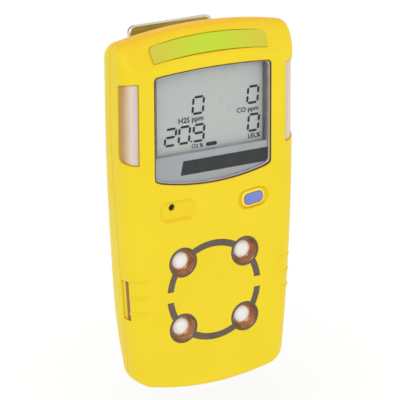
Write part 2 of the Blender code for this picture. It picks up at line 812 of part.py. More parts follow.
def main_board(detector):
    half = [
        (0.0, 15.6), (18.0, 15.6), (21.4, 18.0), (22.4, 61.8), (19.5, 63.0), (19.5, 70.6), (22.4, 71.8),
        (22.4, 89.4), (18.8, 90.2), (18.8, 98.0), (21.0, 98.8), (19.6, 103.4), (0.0, 103.8),
    ]
    plate = prism(new(), mirrored(half), "y", BOARD_FRONT, BOARD_FRONT + BOARD_THICKNESS)
    board = detector.add("main_board", plate, detector.board)
    holes = new()
    for z in BOARD_SCREW_HEIGHTS:
        pin_back(holes, 0, z, BOARD_FRONT - 1, BOARD_FRONT + BOARD_THICKNESS + 1, 1.1, 12)
    detector.cut(board, holes)


def alarm_leds(detector):
    places = ((-20.6, 82.0), (20.6, 82.0), (-9.0, 102.0), (9.0, 102.0))
    back = BOARD_FRONT - GAP
    for number, (x, z) in enumerate(places, 1):
        led = new()
        box(led, (x - 1.6, back - 1.0, z - 1.4), (x + 1.6, back, z + 1.4))
        item = detector.add(f"alarm_led_{number}", led, detector.white)
        dome = rod(new(), (x, back - 0.5, z), (x, back - 1.7, z), 1.3, 16, 0.9)
        detector.cut(item, dome, "UNION")


def button_parts(detector):
    width, height = BUTTON_SIZE
    outline = button_shape(width, height, BUTTON_CORNER)
    cap = prism(new(), outline, "y", -BUTTON_PROUD, BUTTON_FLANGE_BACK - 0.4)
    pivot = (BUTTON_X, 0.0, BUTTON_Z)
    button = detector.add("push_button", cap, detector.button, pivot)
    grown = button_shape(width + 2 * BUTTON_FLANGE, height + 2 * BUTTON_FLANGE, BUTTON_CORNER + 0.4)
    flange = prism(new(), grown, "y", BUTTON_FLANGE_FRONT, BUTTON_FLANGE_BACK)
    detector.cut(button, flange, "UNION")
    start = BUTTON_FLANGE_BACK - 0.2
    stem = pin_back(new(), BUTTON_X, BUTTON_Z, start, SWITCH_TOP - GAP, BUTTON_STEM_RADIUS, 12)
    detector.cut(button, stem, "UNION")
    smooth(button)
    width, height = BUTTON_RECESS_SIZE
    outline = button_shape(width - 2 * GAP, height - 2 * GAP, height / 2 - GAP - 0.01)
    ring = prism(new(), outline, "y", BUTTON_RIM_FRONT, BUTTON_RIM_BACK)
    rim = detector.add("button_rim", ring, detector.yellow_rubber)
    width, height = BUTTON_SIZE
    opening = button_shape(width + 2 * GAP, height + 2 * GAP, BUTTON_CORNER + GAP)
    detector.cut(rim, prism(new(), opening, "y", -1, 2))
    smooth(rim)


def switch_parts(detector):
    back = BOARD_FRONT - GAP
    low = (BUTTON_X - 3, SWITCH_BODY_FRONT, BUTTON_Z - 3)
    high = (BUTTON_X + 3, back, BUTTON_Z + 3)
    body = detector.add("tactile_switch", box(new(), low, high), detector.black)
    detector.cut(body, pin_back(new(), BUTTON_X, BUTTON_Z, SWITCH_BODY_FRONT - 1, back - 0.4, 1.8, 16))
    plunger = pin_back(new(), BUTTON_X, BUTTON_Z, SWITCH_TOP, SWITCH_TOP + 2.2, 1.5, 16)
    smooth(detector.add("switch_plunger", plunger, detector.brass, (BUTTON_X, 0.0, BUTTON_Z)))


def buzzer_parts(detector):
    z = BUZZER_HOLE_Z - 1.6
    can = pin_back(new(), BUZZER_X, z, SENSOR_FRONT, BOARD_FRONT - GAP, BUZZER_RADIUS, 28)
    buzzer = detector.add("buzzer", can, detector.black)
    detector.cut(buzzer, pin_back(new(), BUZZER_X, z, SENSOR_FRONT - 1, SENSOR_FRONT + 0.8, 1.5, 16))
    smooth(buzzer)
    membrane = pin_back(new(), BUZZER_X, BUZZER_HOLE_Z, WALL + GAP, SENSOR_FRONT - GAP, 3.0, 24)
    smooth(detector.add("buzzer_membrane", membrane, detector.filter))


def sensor_parts(detector):
    places = (
        ("hydrogen_sulfide", -1, 1),
        ("carbon_monoxide", 1, 1),
        ("oxygen", -1, -1),
        ("combustible_gas", 1, -1),
    )
    for gas, right, up in places:
        x = right * PORT_OFFSET
        z = RING_HEIGHT + up * PORT_OFFSET
        can = pin_back(new(), x, z, SENSOR_FRONT + 1.0, BOARD_FRONT - GAP, SENSOR_RADIUS, 32)
        sensor = detector.add(f"{gas}_sensor", can, detector.cell)
        neck = pin_back(new(), x, z, SENSOR_FRONT, SENSOR_FRONT + 2, SENSOR_NECK_RADIUS, 24)
        detector.cut(sensor, neck, "UNION")
        smooth(sensor)
        disc = pin_back(new(), x, z, WALL + 0.2, SENSOR_FRONT - GAP, PORT_RADIUS - 0.4, 24)
        smooth(detector.add(f"{gas}_filter", disc, detector.filter))
    half = [(0.0, 10.2), (15.4, 10.2), (20.4, 15.2), (20.4, 51.2), (0.0, 51.2)]
    plate = prism(new(), mirrored(half), "y", CARRIER_FRONT, CARRIER_BACK)
    carrier = detector.add("sensor_carrier", plate, detector.black)
    holes = new()
    for side in (1, -1):
        for x, z in port_places(side):
            pin_back(holes, x, z, CARRIER_FRONT - 1, CARRIER_BACK + 1, SENSOR_RADIUS + GAP, 32)
    pin_back(holes, 0, RING_HEIGHT, CARRIER_FRONT - 1, CARRIER_BACK + 1, POST_RADIUS + GAP, 16)
    detector.cut(carrier, holes)


def port_seals(detector):
    for name, side in (("upper_port_seal", 1), ("lower_port_seal", -1)):
        arc = prism(new(), seal_outline(side, 0.0), "y", -SEAL_PROUD, SEAL_DEPTH)
        seal = detector.add(name, arc, detector.seal)
        collars = new()
        holes = new()
        for x, z in port_places(side):
            pin_back(collars, x, z, -SEAL_PROUD - 0.1, SEAL_DEPTH, COLLAR_RADIUS, 28)
            pin_back(holes, x, z, -2, WALL + 1, PORT_RADIUS, 28)
        detector.cut(seal, collars, "UNION")
        detector.cut(seal, holes)
        smooth(seal)


def power_parts(detector):
    pack = prism(new(), lozenge(0, BATTERY_Z, *BATTERY_SIZE, 1.5, 3), "y", BATTERY_FRONT, BATTERY_BACK)
    detector.add("battery", pack, detector.foil)
    block = box(new(), (-PORT_HALF_WIDTH, PORT_FRONT, PORT_BOTTOM), (PORT_HALF_WIDTH, PORT_BACK, PORT_TOP))
    port = detector.add("charge_port", block, detector.black)
    slots = new()
    contacts = (-2.2, 2.2)
    middle = (PORT_FRONT + PORT_BACK) / 2
    for x in contacts:
        box(slots, (x - 1.1, middle - 0.8, PORT_BOTTOM - 1), (x + 1.1, middle + 0.8, PORT_TOP + 1))
    detector.cut(port, slots)
    for number, x in enumerate(contacts, 1):
        low = (x - 0.8, middle - 0.4, PORT_BOTTOM + 1.0)
        high = (x + 0.8, middle + 0.4, PORT_TOP + 1.0)
        blade = box(new(), low, high)
        detector.add(f"charge_contact_{number}", blade, detector.brass)
    back = rear_depth(IR_HEIGHT) - 0.4
    window = pin_back(new(), 0, IR_HEIGHT, back - 2.2, back, IR_RADIUS, 20)
    smooth(detector.add("infrared_window", window, detector.red))


def motor_parts(detector):
    left, right = MOTOR_ENDS
    motor = rod(new(), (left, MOTOR_Y, MOTOR_Z), (right, MOTOR_Y, MOTOR_Z), MOTOR_RADIUS, 20)
    body = detector.add("vibration_motor", motor, detector.silver)
    shaft = rod(new(), (right - 0.5, MOTOR_Y, MOTOR_Z), (WEIGHT_ENDS[0] - GAP, MOTOR_Y, MOTOR_Z), 0.6, 12)
    detector.cut(body, shaft, "UNION")
    smooth(body)
    steps = 10
    outline = [(MOTOR_Y + 0.6, MOTOR_Z + 0.5), (MOTOR_Y - 0.6, MOTOR_Z + 0.5)]
    for i in range(steps + 1):
        angle = math.pi + math.pi * i / steps
        outline.append((MOTOR_Y + 1.6 * math.cos(angle), MOTOR_Z + 1.6 * math.sin(angle)))
    weight = prism(new(), outline, "x", *WEIGHT_ENDS)
    pivot = (sum(WEIGHT_ENDS) / 2, MOTOR_Y, MOTOR_Z)
    smooth(detector.add("vibration_weight", weight, detector.brass, pivot))


# Clip


def pin_line(reach, radius):
    """A cylinder on the clip's hinge line, reaching as far to the left as to the right."""
    return rod(new(), (-reach, CLIP_PIN_Y, CLIP_PIN_Z), (reach, CLIP_PIN_Y, CLIP_PIN_Z), radius, 20)


def bracket(detector):
    front = DEPTH + GAP
    low = (-BRACKET_HALF_WIDTH, front, BRACKET_BOTTOM)
    high = (BRACKET_HALF_WIDTH, front + CLIP_SHEET, BRACKET_TOP)
    plate = box(new(), low, high)
    item = detector.add("clip_bracket", plate, detector.silver)
    ear = [
        (front + 0.2, CLIP_PIN_Z - 6.0),
        (CLIP_PIN_Y + 0.6, CLIP_PIN_Z - 2.4),
        (CLIP_PIN_Y + 1.9, CLIP_PIN_Z - 1.4),
        (CLIP_PIN_Y + 2.4, CLIP_PIN_Z),
        (CLIP_PIN_Y + 1.9, CLIP_PIN_Z + 1.4),
        (CLIP_PIN_Y + 0.6, CLIP_PIN_Z + 2.4),
        (front + 0.2, CLIP_PIN_Z + 6.0),
    ]
    for side in (-1, 1):
        ends = sorted((side * BRACKET_HALF_WIDTH, side * (BRACKET_HALF_WIDTH - CLIP_SHEET)))
        detector.cut(item, prism(new(), ear, "x", *ends), "UNION")
    holes = pin_line(BRACKET_HALF_WIDTH + 1, CLIP_PIN_RADIUS + GAP)
    for z in CLIP_SCREW_HEIGHTS:
        pin_back(holes, 0, z, DEPTH, DEPTH + 4, 1.2, 12)
    detector.cut(item, holes)


def lever_profile(shift):
    """The lever's bent sheet seen from the side, as (y, z) points from the thumb end to the jaw."""
    return [(y - shift, CLIP_PIN_Z + rise) for y, rise in CLIP_BENDS]


def thumb_corners():
    """What rounding off the thumb plate's two top corners takes away."""
    bm = new()
    top = lever_profile(0.0)[0][1]
    outside = CLIP_THUMB_HALF_WIDTH + 1
    inside = CLIP_THUMB_HALF_WIDTH - CLIP_CORNER
    steps = 6
    for side in (-1, 1):
        outline = [(side * outside, top - CLIP_CORNER), (side * outside, top + 1), (side * inside, top + 1)]
        for i in range(steps):
            angle = math.pi / 2 * (1 - i / steps)
            across = inside + CLIP_CORNER * math.cos(angle)
            outline.append((side * across, top - CLIP_CORNER + CLIP_CORNER * math.sin(angle)))
        prism(bm, outline, "y", CLIP_PIN_Y, CLIP_PIN_Y + 6)
    return bm


def lever(detector):
    outer = lever_profile(0.0) + [(24.6, GRIP.z + 0.7), (23.4, GRIP.z - 1.1), (GRIP.y, GRIP.z - 1.7)]
    inner = lever_profile(CLIP_SHEET) + [(23.7, GRIP.z + 1.3), (22.9, GRIP.z - 0.1), (GRIP.y, GRIP.z - 0.6)]
    sheet = outer + inner[::-1]
    half = CLIP_JAW_HALF_WIDTH
    pivot = (0.0, CLIP_PIN_Y, CLIP_PIN_Z)
    item = detector.add("clip_lever", prism(new(), sheet, "x", -half, half), detector.silver, pivot)
    thumb = [point for point in sheet if point[1] > CLIP_PIN_Z + 7.5]
    detector.cut(item, prism(new(), thumb, "x", -CLIP_THUMB_HALF_WIDTH, CLIP_THUMB_HALF_WIDTH), "UNION")
    detector.cut(item, thumb_corners())
    ear = [
        (27.4, CLIP_PIN_Z - 5.5),
        (27.6, CLIP_PIN_Z + 4.5),
        (CLIP_PIN_Y - 0.6, CLIP_PIN_Z + 2.0),
        (CLIP_PIN_Y - 1.7, CLIP_PIN_Z + 1.0),
        (CLIP_PIN_Y - 2.0, CLIP_PIN_Z),
        (CLIP_PIN_Y - 1.7, CLIP_PIN_Z - 1.0),
        (CLIP_PIN_Y - 0.6, CLIP_PIN_Z - 2.0),
    ]
    for side in (-1, 1):
        ends = sorted((side * half, side * (half - CLIP_SHEET)))
        detector.cut(item, prism(new(), ear, "x", *ends), "UNION")
    detector.cut(item, pin_line(half + 1, CLIP_PIN_RADIUS + GAP))


def clip_pin(detector):
    pin = pin_line(CLIP_JAW_HALF_WIDTH + 0.4, CLIP_PIN_RADIUS)
    smooth(detector.add("clip_pin", pin, detector.silver, (0.0, CLIP_PIN_Y, CLIP_PIN_Z)))


def clip_spring(detector):
    """A torsion spring round the pin: one leg lies up the bracket, and the other up the lever's thumb end."""
    wire = 0.35
    coil = CLIP_PIN_RADIUS + GAP + wire + 0.25
    turns = 4.5
    per_turn = 12
    pitch = 1.1
    points = [Vector((-turns * pitch / 2, -1.75, SPRING_LEGS[0]))]
    count = int(turns * per_turn)
    for i in range(count + 1):
        angle = math.pi + math.tau * i / per_turn
        x = -turns * pitch / 2 + pitch * i / per_turn
        points.append(Vector((x, coil * math.cos(angle), coil * math.sin(angle))))
    points.append(Vector((turns * pitch / 2, 1.6, SPRING_LEGS[1])))
    curve = bpy.data.curves.new("clip_spring", "CURVE")
    curve.dimensions = "3D"
    curve.bevel_depth = wire * MM
    curve.bevel_resolution = 1
    curve.use_fill_caps = True
    spline = curve.splines.new("POLY")
    spline.points.add(len(points) - 1)
    for target, point in zip(spline.points, points):
        target.co = (*(point * MM), 1.0)
    item = bpy.data.objects.new("clip_spring", curve)
    item.parent = detector.root
    item.location = Vector((0.0, CLIP_PIN_Y, CLIP_PIN_Z)) * MM
    bpy.context.scene.collection.objects.link(item)
    curve.materials.append(detector.silver)


def main():
    clear_scene()
    detector = Detector()
    front_shell(detector)
    rear_shell(detector)
    shell_gasket(detector)
    lenses(detector)
    display(detector)
    main_board(detector)
    alarm_leds(detector)
    button_parts(detector)
    switch_parts(detector)
    buzzer_parts(detector)
    sensor_parts(detector)
    port_seals(detector)
    power_parts(detector)
    motor_parts(detector)
    screws(detector)
    bracket(detector)
    lever(detector)
    clip_pin(detector)
    clip_spring(detector)


main()
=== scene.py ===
"""Looks of a portable four-gas detector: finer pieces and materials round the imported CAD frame, and a studio.

Lengths below are millimetres in the same layout as the CAD source: x runs to the right as someone reads
the display, y runs back from the front face and z runs up from the lowest point. GRIP is the frame's origin
in that layout.
"""

import math

import bmesh
import bpy
from mathutils import Matrix, Vector


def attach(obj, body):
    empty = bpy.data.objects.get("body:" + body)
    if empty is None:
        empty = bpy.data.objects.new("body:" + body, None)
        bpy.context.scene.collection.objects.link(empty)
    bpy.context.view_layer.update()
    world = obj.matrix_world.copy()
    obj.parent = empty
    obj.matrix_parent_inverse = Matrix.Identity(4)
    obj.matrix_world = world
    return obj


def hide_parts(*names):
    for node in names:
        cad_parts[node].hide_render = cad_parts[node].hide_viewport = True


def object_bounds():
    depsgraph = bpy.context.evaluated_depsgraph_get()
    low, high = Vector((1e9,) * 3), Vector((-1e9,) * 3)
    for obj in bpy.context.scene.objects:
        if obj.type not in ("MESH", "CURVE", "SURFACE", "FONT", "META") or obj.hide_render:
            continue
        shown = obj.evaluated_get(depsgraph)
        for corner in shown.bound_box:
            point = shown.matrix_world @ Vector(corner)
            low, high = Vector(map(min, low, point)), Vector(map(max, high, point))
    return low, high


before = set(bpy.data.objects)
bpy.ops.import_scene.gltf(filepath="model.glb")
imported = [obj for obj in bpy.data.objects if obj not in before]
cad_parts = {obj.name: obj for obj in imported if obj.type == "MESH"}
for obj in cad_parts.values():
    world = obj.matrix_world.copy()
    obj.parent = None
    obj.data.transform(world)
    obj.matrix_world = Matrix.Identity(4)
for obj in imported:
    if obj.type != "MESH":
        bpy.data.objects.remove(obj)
cad_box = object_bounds()

MM = 0.001
GRIP = Vector((0.0, 22.2, 61.3))

# Housing, as in the CAD source
HEIGHT = 113.6
TOP_HALF_WIDTH = 29.25
TAPER = 3.9
TAPER_START = 74.7
DEPTH = 19.9
THINNING = 7.0
THIN_START = 24.0
WALL = 2.0
PARTING = 10.2
PARTING_ADVANCE = 3.4
PARTING_SLOPE_BOTTOM = 36.0
PARTING_SLOPE_TOP = 90.0
FRONT_EDGE = 5.7
REAR_EDGE = 6.5
CREST_DEPTH = 5.7
CREST_FALL = 8.4
CREST_ROUNDNESS = 1.83
BASE_EDGE = 2.2
BASE_CORNER = 2.8
TOP_CORNER = 2.9
TOP_ARCH_RADIUS = 128.0
BASE_ARCH_RADIUS = 84.0
BROW_DEPTH = 6.3
BROW_SLOPE = 1.6
BROW_SHARPNESS = 1.2
BROW_INSET_SHARE = 0.554
KNEE_DEPTH = 0.9
KNEE_FALL = 0.9

# How finely the housing is drawn: the base, low corner, side, high corner and top of a section, and the
# depths of the front shell's sections. Then the parting line and the lip inside it.
SECTION_STEPS = (8, 8, 26, 8, 10)
FRONT_DEPTHS = (0.0, 0.15, 0.35, 0.6, 0.9, 1.3, 1.8, 2.4, 3.1, 3.9, 4.7, FRONT_EDGE, 6.7, 7.7, 8.6)
SEAM_GAP = 0.16
SEAM_ROUND = 0.25
LIP_WIDTH = 0.8
LIP_OFFSET = 0.75

# How far a rounded corner's handles reach, how far a cutter runs past a face, an x beyond the housing, and
# the small radius that closes a turned profile
ROUNDING_HOLD = 0.5523
CLEAR = 2.0
OUTSIDE = TOP_HALF_WIDTH + 5
AXIS = 0.02

# Display. The ring of painted shade on the opening's wall and the bevel are (outward from the opening, depth)
# points, a figure is (digit, x, z) and a unit is (text, x, z, width).
WINDOW_HALF_WIDTH = 19.7
WINDOW_TOP = 100.7
WINDOW_TOP_RISE = 0.9
WINDOW_BOTTOM = 68.2
WINDOW_BOTTOM_FALL = 2.7
WINDOW_CORNER = 1.2
LCD_HALF_WIDTH = 18.9
LCD_BOTTOM = 75.4
LCD_TOP = 101.3
LCD_FRONT = 3.2
PANEL_BOTTOM = 73.4
PANEL_BACK = 5.2
BEZEL_FRONT = 1.25
BEZEL_BACK = 2.3
GASKET_WIDTHS = (0.5, 0.45)
WALL_SHADE_RING = ((-0.02, 0.12), (-0.12, 0.1), (-0.18, 0.18), (-0.18, 0.6), (-0.18, 1.6), (-0.02, 1.6))
BEVEL = ((-0.2, 0.6), (-0.26, 0.55), (-0.36, 0.6), (-0.52, 0.8), (-0.6, 0.95), (-0.6, 1.2), (-0.2, 1.2))
BAND_LEFT = -10.6
BAND_SLANT = 0.9
BAND_HEIGHTS = (68.8, 73.2)
DIGIT_WIDTH = 4.25
DIGIT_HEIGHT = 5.8
DIGIT_STROKE = 0.74
DIGIT_SLANT = 0.09
READOUTS = (
    ("0", -3.5, 89.3),
    ("2", -12.9, 80.65),
    ("0", -8.25, 80.65),
    ("9", -3.4, 80.65),
    ("0", 15.1, 89.8),
    ("0", 15.3, 81.0),
)
POINT_PLACE = (-5.9, 78.25)
BATTERY_MARK = (0.9, 76.6, 3.7, 1.15)
UNIT_MARKS = (
    ("H2S ppm", -6.0, 85.1, 8.4),
    ("O2 %", -3.9, 76.6, 3.9),
    ("CO ppm", 13.3, 85.4, 7.4),
    ("LEL%", 15.5, 76.8, 4.2),
)
SEGMENTS = {"0": "abcdef", "2": "abged", "9": "abcdfg"}
SEGMENT_ENDS = {
    "a": ((-1, 1), (1, 1)),
    "b": ((1, 1), (1, 0)),
    "c": ((1, 0), (1, -1)),
    "d": ((-1, -1), (1, -1)),
    "e": ((-1, 0), (-1, -1)),
    "f": ((-1, 1), (-1, 0)),
    "g": ((-1, 0), (1, 0)),
}

# Alarm lenses. The top lens and its pocket are (outward, above the brow) pairs.
SIDE_LENS_EDGE = 24.7
SIDE_LENS_BACK = 5.4
SIDE_LENS_BOTTOM = 74.3
SIDE_LENS_TOP = 99.5
SIDE_LENS_BACK_FALL = 0.8
SIDE_LENS_BACK_RISE = 1.3
SIDE_LENS_FLAT = 0.6
SIDE_LENS_CORNER = 1.8
SIDE_LENS_RECESS = 0.45
SIDE_LENS_DEPTHS = (0.0, 0.3, 0.8, 1.4, 2.1, 3.0, 3.9, 4.7, FRONT_EDGE, 7.5)
TOP_LENS_LOW = (1.5, 105.85)
TOP_LENS_HIGH = (4.65, 110.85)
TOP_LENS_HALF_WIDTHS = (19.2, 19.6)
TOP_LENS_CORNER = 1.5
TOP_LENS_ARCH = (1.3, 1.7)
TOP_LENS_RINGS = ((-0.45, -0.08), (-0.25, -0.11), (-0.13, -0.22), (-0.08, -0.4), (-0.08, -2.6))
TOP_LENS_POCKET = ((0.55, 3.0), (0.55, 0.1), (0.3, -0.06), (0.1, -0.3), (0.0, -0.6), (0.0, -3.4))

# Sensor ring
RING_HEIGHT = 31.1
RING_RADIUS = 16.0
RING_WIDTH = 2.0
RING_BREAK = 3.45
PORT_OFFSET = 10.6
COLLAR_RADIUS = 4.7
PORT_RADIUS = 4.05
GROOVE_GAP = 0.06
GASES = ("oxygen", "combustible_gas", "hydrogen_sulfide", "carbon_monoxide")

# Button, buzzer, slots and ribs. A corner of a slot's strip of painted shade is (inward from the side face,
# depth).
BUTTON_X = 13.5
BUTTON_Z = 58.3
BUTTON_TILT = math.radians(6.5)
BUTTON_SIZE = (6.3, 3.5)
BUTTON_CORNER = 1.35
BUTTON_GAP = 0.25
BUTTON_RECESS_SIZE = (10.6, 6.3)
BUTTON_RECESS_DEPTH = 0.95
BUTTON_RECESS_ROUND = 1.0
STEM_RADIUS = 1.2
STEM_BACK = 7.85
BUZZER_X = -13.7
BUZZER_HOLE_Z = 59.4
BUZZER_HOLE_RADIUS = 1.05
BUZZER_PAD_X = -12.1
BUZZER_PAD_Z = 58.4
BUZZER_PAD_SIZE = (10.8, 5.2)
BUZZER_PAD_DEPTH = 1.1
BUZZER_PAD_CORNER = 1.7
SLOT_BOTTOM = 24.9
SLOT_TOP = 37.7
SLOT_FRONT = 3.0
SLOT_LEDGE = 5.3
SLOT_LEDGE_DEPTH = 0.8
SLOT_END_DEPTH = 0.35
SLOT_DEPTH = 2.0
SHADE_STRIP_CORNERS = ((1.9, SLOT_FRONT + 0.1), (0.75, SLOT_FRONT + 0.1), (0.62, 5.0), (1.4, 5.3))
RIB_HEIGHTS = (37.5, 32.4, 27.4)
RIB_INNER = 21.3
RIB_OUTER = 27.0
RIB_RADIUS = 0.5

# Back
SCREW_PLACES = ((22.7, 94.0), (23.2, 66.8), (19.0, 8.8))
SCREW_SEAT = 2.3
SCREW_HEAD = 1.3
SCREW_SHAFT = 0.9
SCREW_HOLE = 1.2
SCREW_WELL = 2.35
BOSS_RADIUS = 3.3
CLIP_SCREW_HEIGHTS = (68.8, 80.8)
IR_HEIGHT = 24.0
IR_RADIUS = 2.5
CHARGE_HALF_WIDTH = 5.0
CHARGE_FRONT = 8.2
CHARGE_BACK = 12.2
CHARGE_GAP = 0.15

# Clip. A bend is (depth, height above the pin).
CLIP_PIN_Y = 24.5
CLIP_PIN_Z = 90.8
CLIP_PIN_RADIUS = 1.1
CLIP_PIN_GAP = 0.08
CLIP_SHEET = 1.0
CLIP_BENDS = (
    (28.4, 18.0), (27.9, 15.8), (27.3, 8.0), (28.1, 2.5), (28.1, -2.0), (26.4, -14.0), (25.0, -24.0),
)
CLIP_THUMB_HALF_WIDTH = 14.2
CLIP_THUMB_LENGTH = 8.8
CLIP_NECK_LENGTH = 2.2
CLIP_JAW_HALF_WIDTH = 9.4
CLIP_CORNER = 2.2
CLIP_RIM_INSET = 0.35
CLIP_RIM_RADIUS = 0.56
LEVER_EAR_RADIUS = 2.1
LEVER_RIB_X = 5.2
LEVER_RIB_RADIUS = 0.62
LEVER_RIB_TOP = -6.0
LEVER_RIB_LENGTH = 14.0
THUMB_RIDGE_PITCH = 1.7
THUMB_RIDGE_HALF_WIDTH = 9.5
THUMB_RIDGE_RADIUS = 0.38
THUMB_RIDGE_TOP = 15.0
BRACKET_HALF_WIDTH = 8.0
BRACKET_BOTTOM = 58.8
BRACKET_TOP = 97.8
BRACKET_FRONT = DEPTH + 0.08
BRACKET_BACK = DEPTH + 1.3
BRACKET_CORNER = 1.6
BRACKET_EAR_RADIUS = 2.3
TOOTH_PITCH = 1.6
SPRING_WIRE = 0.35
SPRING_TURNS = 4.5
SPRING_PITCH = 1.1
SPRING_LEGS = (3.4, 6.6)

# Studio, and the camera at the photograph's viewing angle. A lamp is (name, place in metres, size, watts).
SKY_STRENGTH = 0.87
FLOOR_DROP = 0.055
LAMPS = (
    ("key_light", (-0.45, -0.75, 0.75), 0.7, 2.2),
    ("fill_light", (0.75, -0.55, 0.35), 0.8, 0.5),
    ("back_light", (0.2, 0.8, 0.9), 0.9, 2.0),
)
CAMERA_YAW = 28.45
CAMERA_PITCH = 19.35
CAMERA_ROLL = -0.27
CAMERA_LENS = 270.0
CAMERA_DISTANCE = 908.3
CAMERA_SHIFT = (-4.33, 27.08)

# Materials: the colour, the colour it drifts to, roughness, the widths of its patches and its grain in
# millimetres, the grain's depth in microns and, where they count, how metallic it is and its clear coat
PAPER = ((0.97, 0.97, 0.97), (0.95, 0.95, 0.95), 0.9, 400.0, 3.0, 5.0)
PLAIN = {
    "yellow_rubber": ((0.98, 0.80, 0.07), (0.95, 0.76, 0.05), 0.5, 5.0, 0.3, 6.0),
    "silver_print": ((0.44, 0.445, 0.47), (0.415, 0.42, 0.445), 0.35, 12.0, 0.2, 0.6, 0.2),
    "black_print": ((0.006, 0.005, 0.005), (0.010, 0.009, 0.009), 0.4, 5.0, 0.2, 1.0),
    # A dark brown ring of painted shade over the display opening's wall
    "window_wall_shade": ((0.085, 0.036, 0.020), (0.06, 0.026, 0.015), 0.4, 4.0, 0.3, 2.0),
    "lcd_gasket": ((0.175, 0.165, 0.170), (0.14, 0.13, 0.135), 0.5, 4.0, 0.3, 2.0),
    "bezel_wall": ((0.50, 0.42, 0.41), (0.43, 0.36, 0.35), 0.22, 4.0, 0.3, 1.0, 0.4),
    "lcd_glass": ((0.575, 0.582, 0.56), (0.555, 0.565, 0.545), 0.3, 20.0, 0.25, 0.6),
    "lcd_segments": ((0.006, 0.006, 0.007), (0.012, 0.012, 0.013), 0.6, 3.0, 0.2, 0.5),
    "button_rubber": ((0.20, 0.235, 0.62), (0.165, 0.20, 0.52), 0.5, 4.0, 0.3, 5.0),
    # A dark brown strip of painted shade in each docking slot
    "slot_painted_shade": ((0.30, 0.11, 0.022), (0.23, 0.08, 0.016), 0.45, 4.0, 0.3, 3.0),
    "seal_rubber": ((0.128, 0.094, 0.076), (0.096, 0.070, 0.056), 0.5, 5.0, 0.3, 6.0),
    "cup_liner": ((0.56, 0.25, 0.10), (0.27, 0.11, 0.045), 0.16, 3.0, 0.4, 2.0, 0.75, 0.4),
    "white_membrane": ((0.97, 0.94, 0.92), (0.90, 0.87, 0.85), 0.7, 2.0, 0.2, 12.0),
    "black_plastic": ((0.018, 0.018, 0.019), (0.028, 0.028, 0.029), 0.45, 6.0, 0.3, 8.0),
    "sensor_can": ((0.30, 0.30, 0.31), (0.24, 0.24, 0.25), 0.4, 6.0, 0.3, 6.0),
    "battery_foil": ((0.56, 0.57, 0.59), (0.47, 0.48, 0.50), 0.35, 8.0, 1.5, 20.0, 0.8),
    "circuit_board": ((0.015, 0.15, 0.06), (0.01, 0.10, 0.045), 0.4, 3.0, 0.8, 10.0),
    "milky_diffuser": ((0.84, 0.84, 0.81), (0.78, 0.78, 0.75), 0.5, 8.0, 0.3, 3.0),
    "infrared_window": ((0.09, 0.008, 0.015), (0.05, 0.004, 0.01), 0.12, 4.0, 0.4, 1.0),
}
# Metals: the colour, the colour it drifts to, roughness and the axis that its brushed lines run along
METALS = {
    "polished_steel": ((0.42, 0.40, 0.39), (0.34, 0.32, 0.31), 0.24, "x"),
    # A lighter copy of the clip's polished steel, for the rim's painted highlight
    "polished_steel_painted_highlight": ((0.80, 0.78, 0.77), (0.70, 0.68, 0.67), 0.14, "x"),
    "screw_steel": ((0.60, 0.59, 0.58), (0.46, 0.45, 0.44), 0.28, "y"),
    "brass": ((0.78, 0.57, 0.25), (0.62, 0.43, 0.17), 0.25, "y"),
}
# The housing's yellow, the colour it drifts to, and the deeper orange painted as shade where surfaces face up
YELLOW = ((0.87, 0.665, 0.018), (0.845, 0.64, 0.014), (0.84, 0.45, 0.012))
# The top lens's green in the middle and at its ends, which also feeds its painted glow
GREEN = ((0.49, 0.64, 0.014), (0.60, 0.52, 0.026))
GREEN_HALF_WIDTH = 20.0
# The side lenses' colour across their width: pale in the middle, with painted shade darkening both edges
FROSTED_SHADE_STOPS = (
    (24.7, (0.56, 0.43, 0.38)),
    (25.8, (0.66, 0.55, 0.51)),
    (27.0, (0.72, 0.60, 0.52)),
    (28.1, (0.62, 0.42, 0.24)),
    (28.8, (0.48, 0.26, 0.09)),
)
INNER_NODES = {
    "alarm_led": "milky_diffuser",
    "backlight": "milky_diffuser",
    "battery": "battery_foil",
    "board_screw": "screw_steel",
    "buzzer": "black_plastic",
    "charge_contact": "brass",
    "charge_port": "black_plastic",
    "display_holder": "black_plastic",
    "infrared_window": "infrared_window",
    "main_board": "circuit_board",
    "sensor_carrier": "black_plastic",
    "shell_gasket": "seal_rubber",
    "switch_plunger": "brass",
    "tactile_switch": "black_plastic",
    "vibration_motor": "screw_steel",
    "vibration_weight": "brass",
}


# Materials


def feed(tree, socket, value):
    """Links the socket to an output, or gives it a value."""
    if isinstance(value, bpy.types.NodeSocket):
        tree.links.new(value, socket)
    else:
        socket.default_value = value


def add_node(tree, kind, **inputs):
    """A new node with its inputs fed. An input's name has _ for each space."""
    made = tree.nodes.new("ShaderNode" + kind)
    for name, value in inputs.items():
        feed(tree, made.inputs[name.replace("_", " ")], value)
    return made


def node_of(tree, kind):
    return next(node for node in tree.nodes if node.type == kind)


def maths(tree, operation, *values):
    made = tree.nodes.new("ShaderNodeMath")
    made.operation = operation
    for socket, value in zip(made.inputs, values):
        feed(tree, socket, value)
    return made.outputs[0]


def mix_colours(tree, share, first, second):
    """A colour between first and second, as share says. Either may be an output."""
    mix = tree.nodes.new("ShaderNodeMix")
    mix.data_type = "RGBA"
    feed(tree, mix.inputs["Factor"], share)
    for name, colour in (("A", first), ("B", second)):
        feed(tree, mix.inputs[name], (*colour, 1.0) if isinstance(colour, tuple) else colour)
    return mix.outputs["Result"]


def noise(tree, place, size, detail=3.0, distortion=0.0):
    """A noise whose features are about size millimetres across."""
    scale = 1.0 / (size * MM)
    made = add_node(tree, "TexNoise", Vector=place, Scale=scale, Detail=detail, Distortion=distortion)
    return made.outputs["Fac"]


def spread(tree, value, low, high, start=0.3, end=0.7):
    """Maps the value from start..end to low..high."""
    made = add_node(tree, "MapRange", Value=value, From_Min=start, From_Max=end, To_Min=low, To_Max=high)
    return made.outputs["Result"]


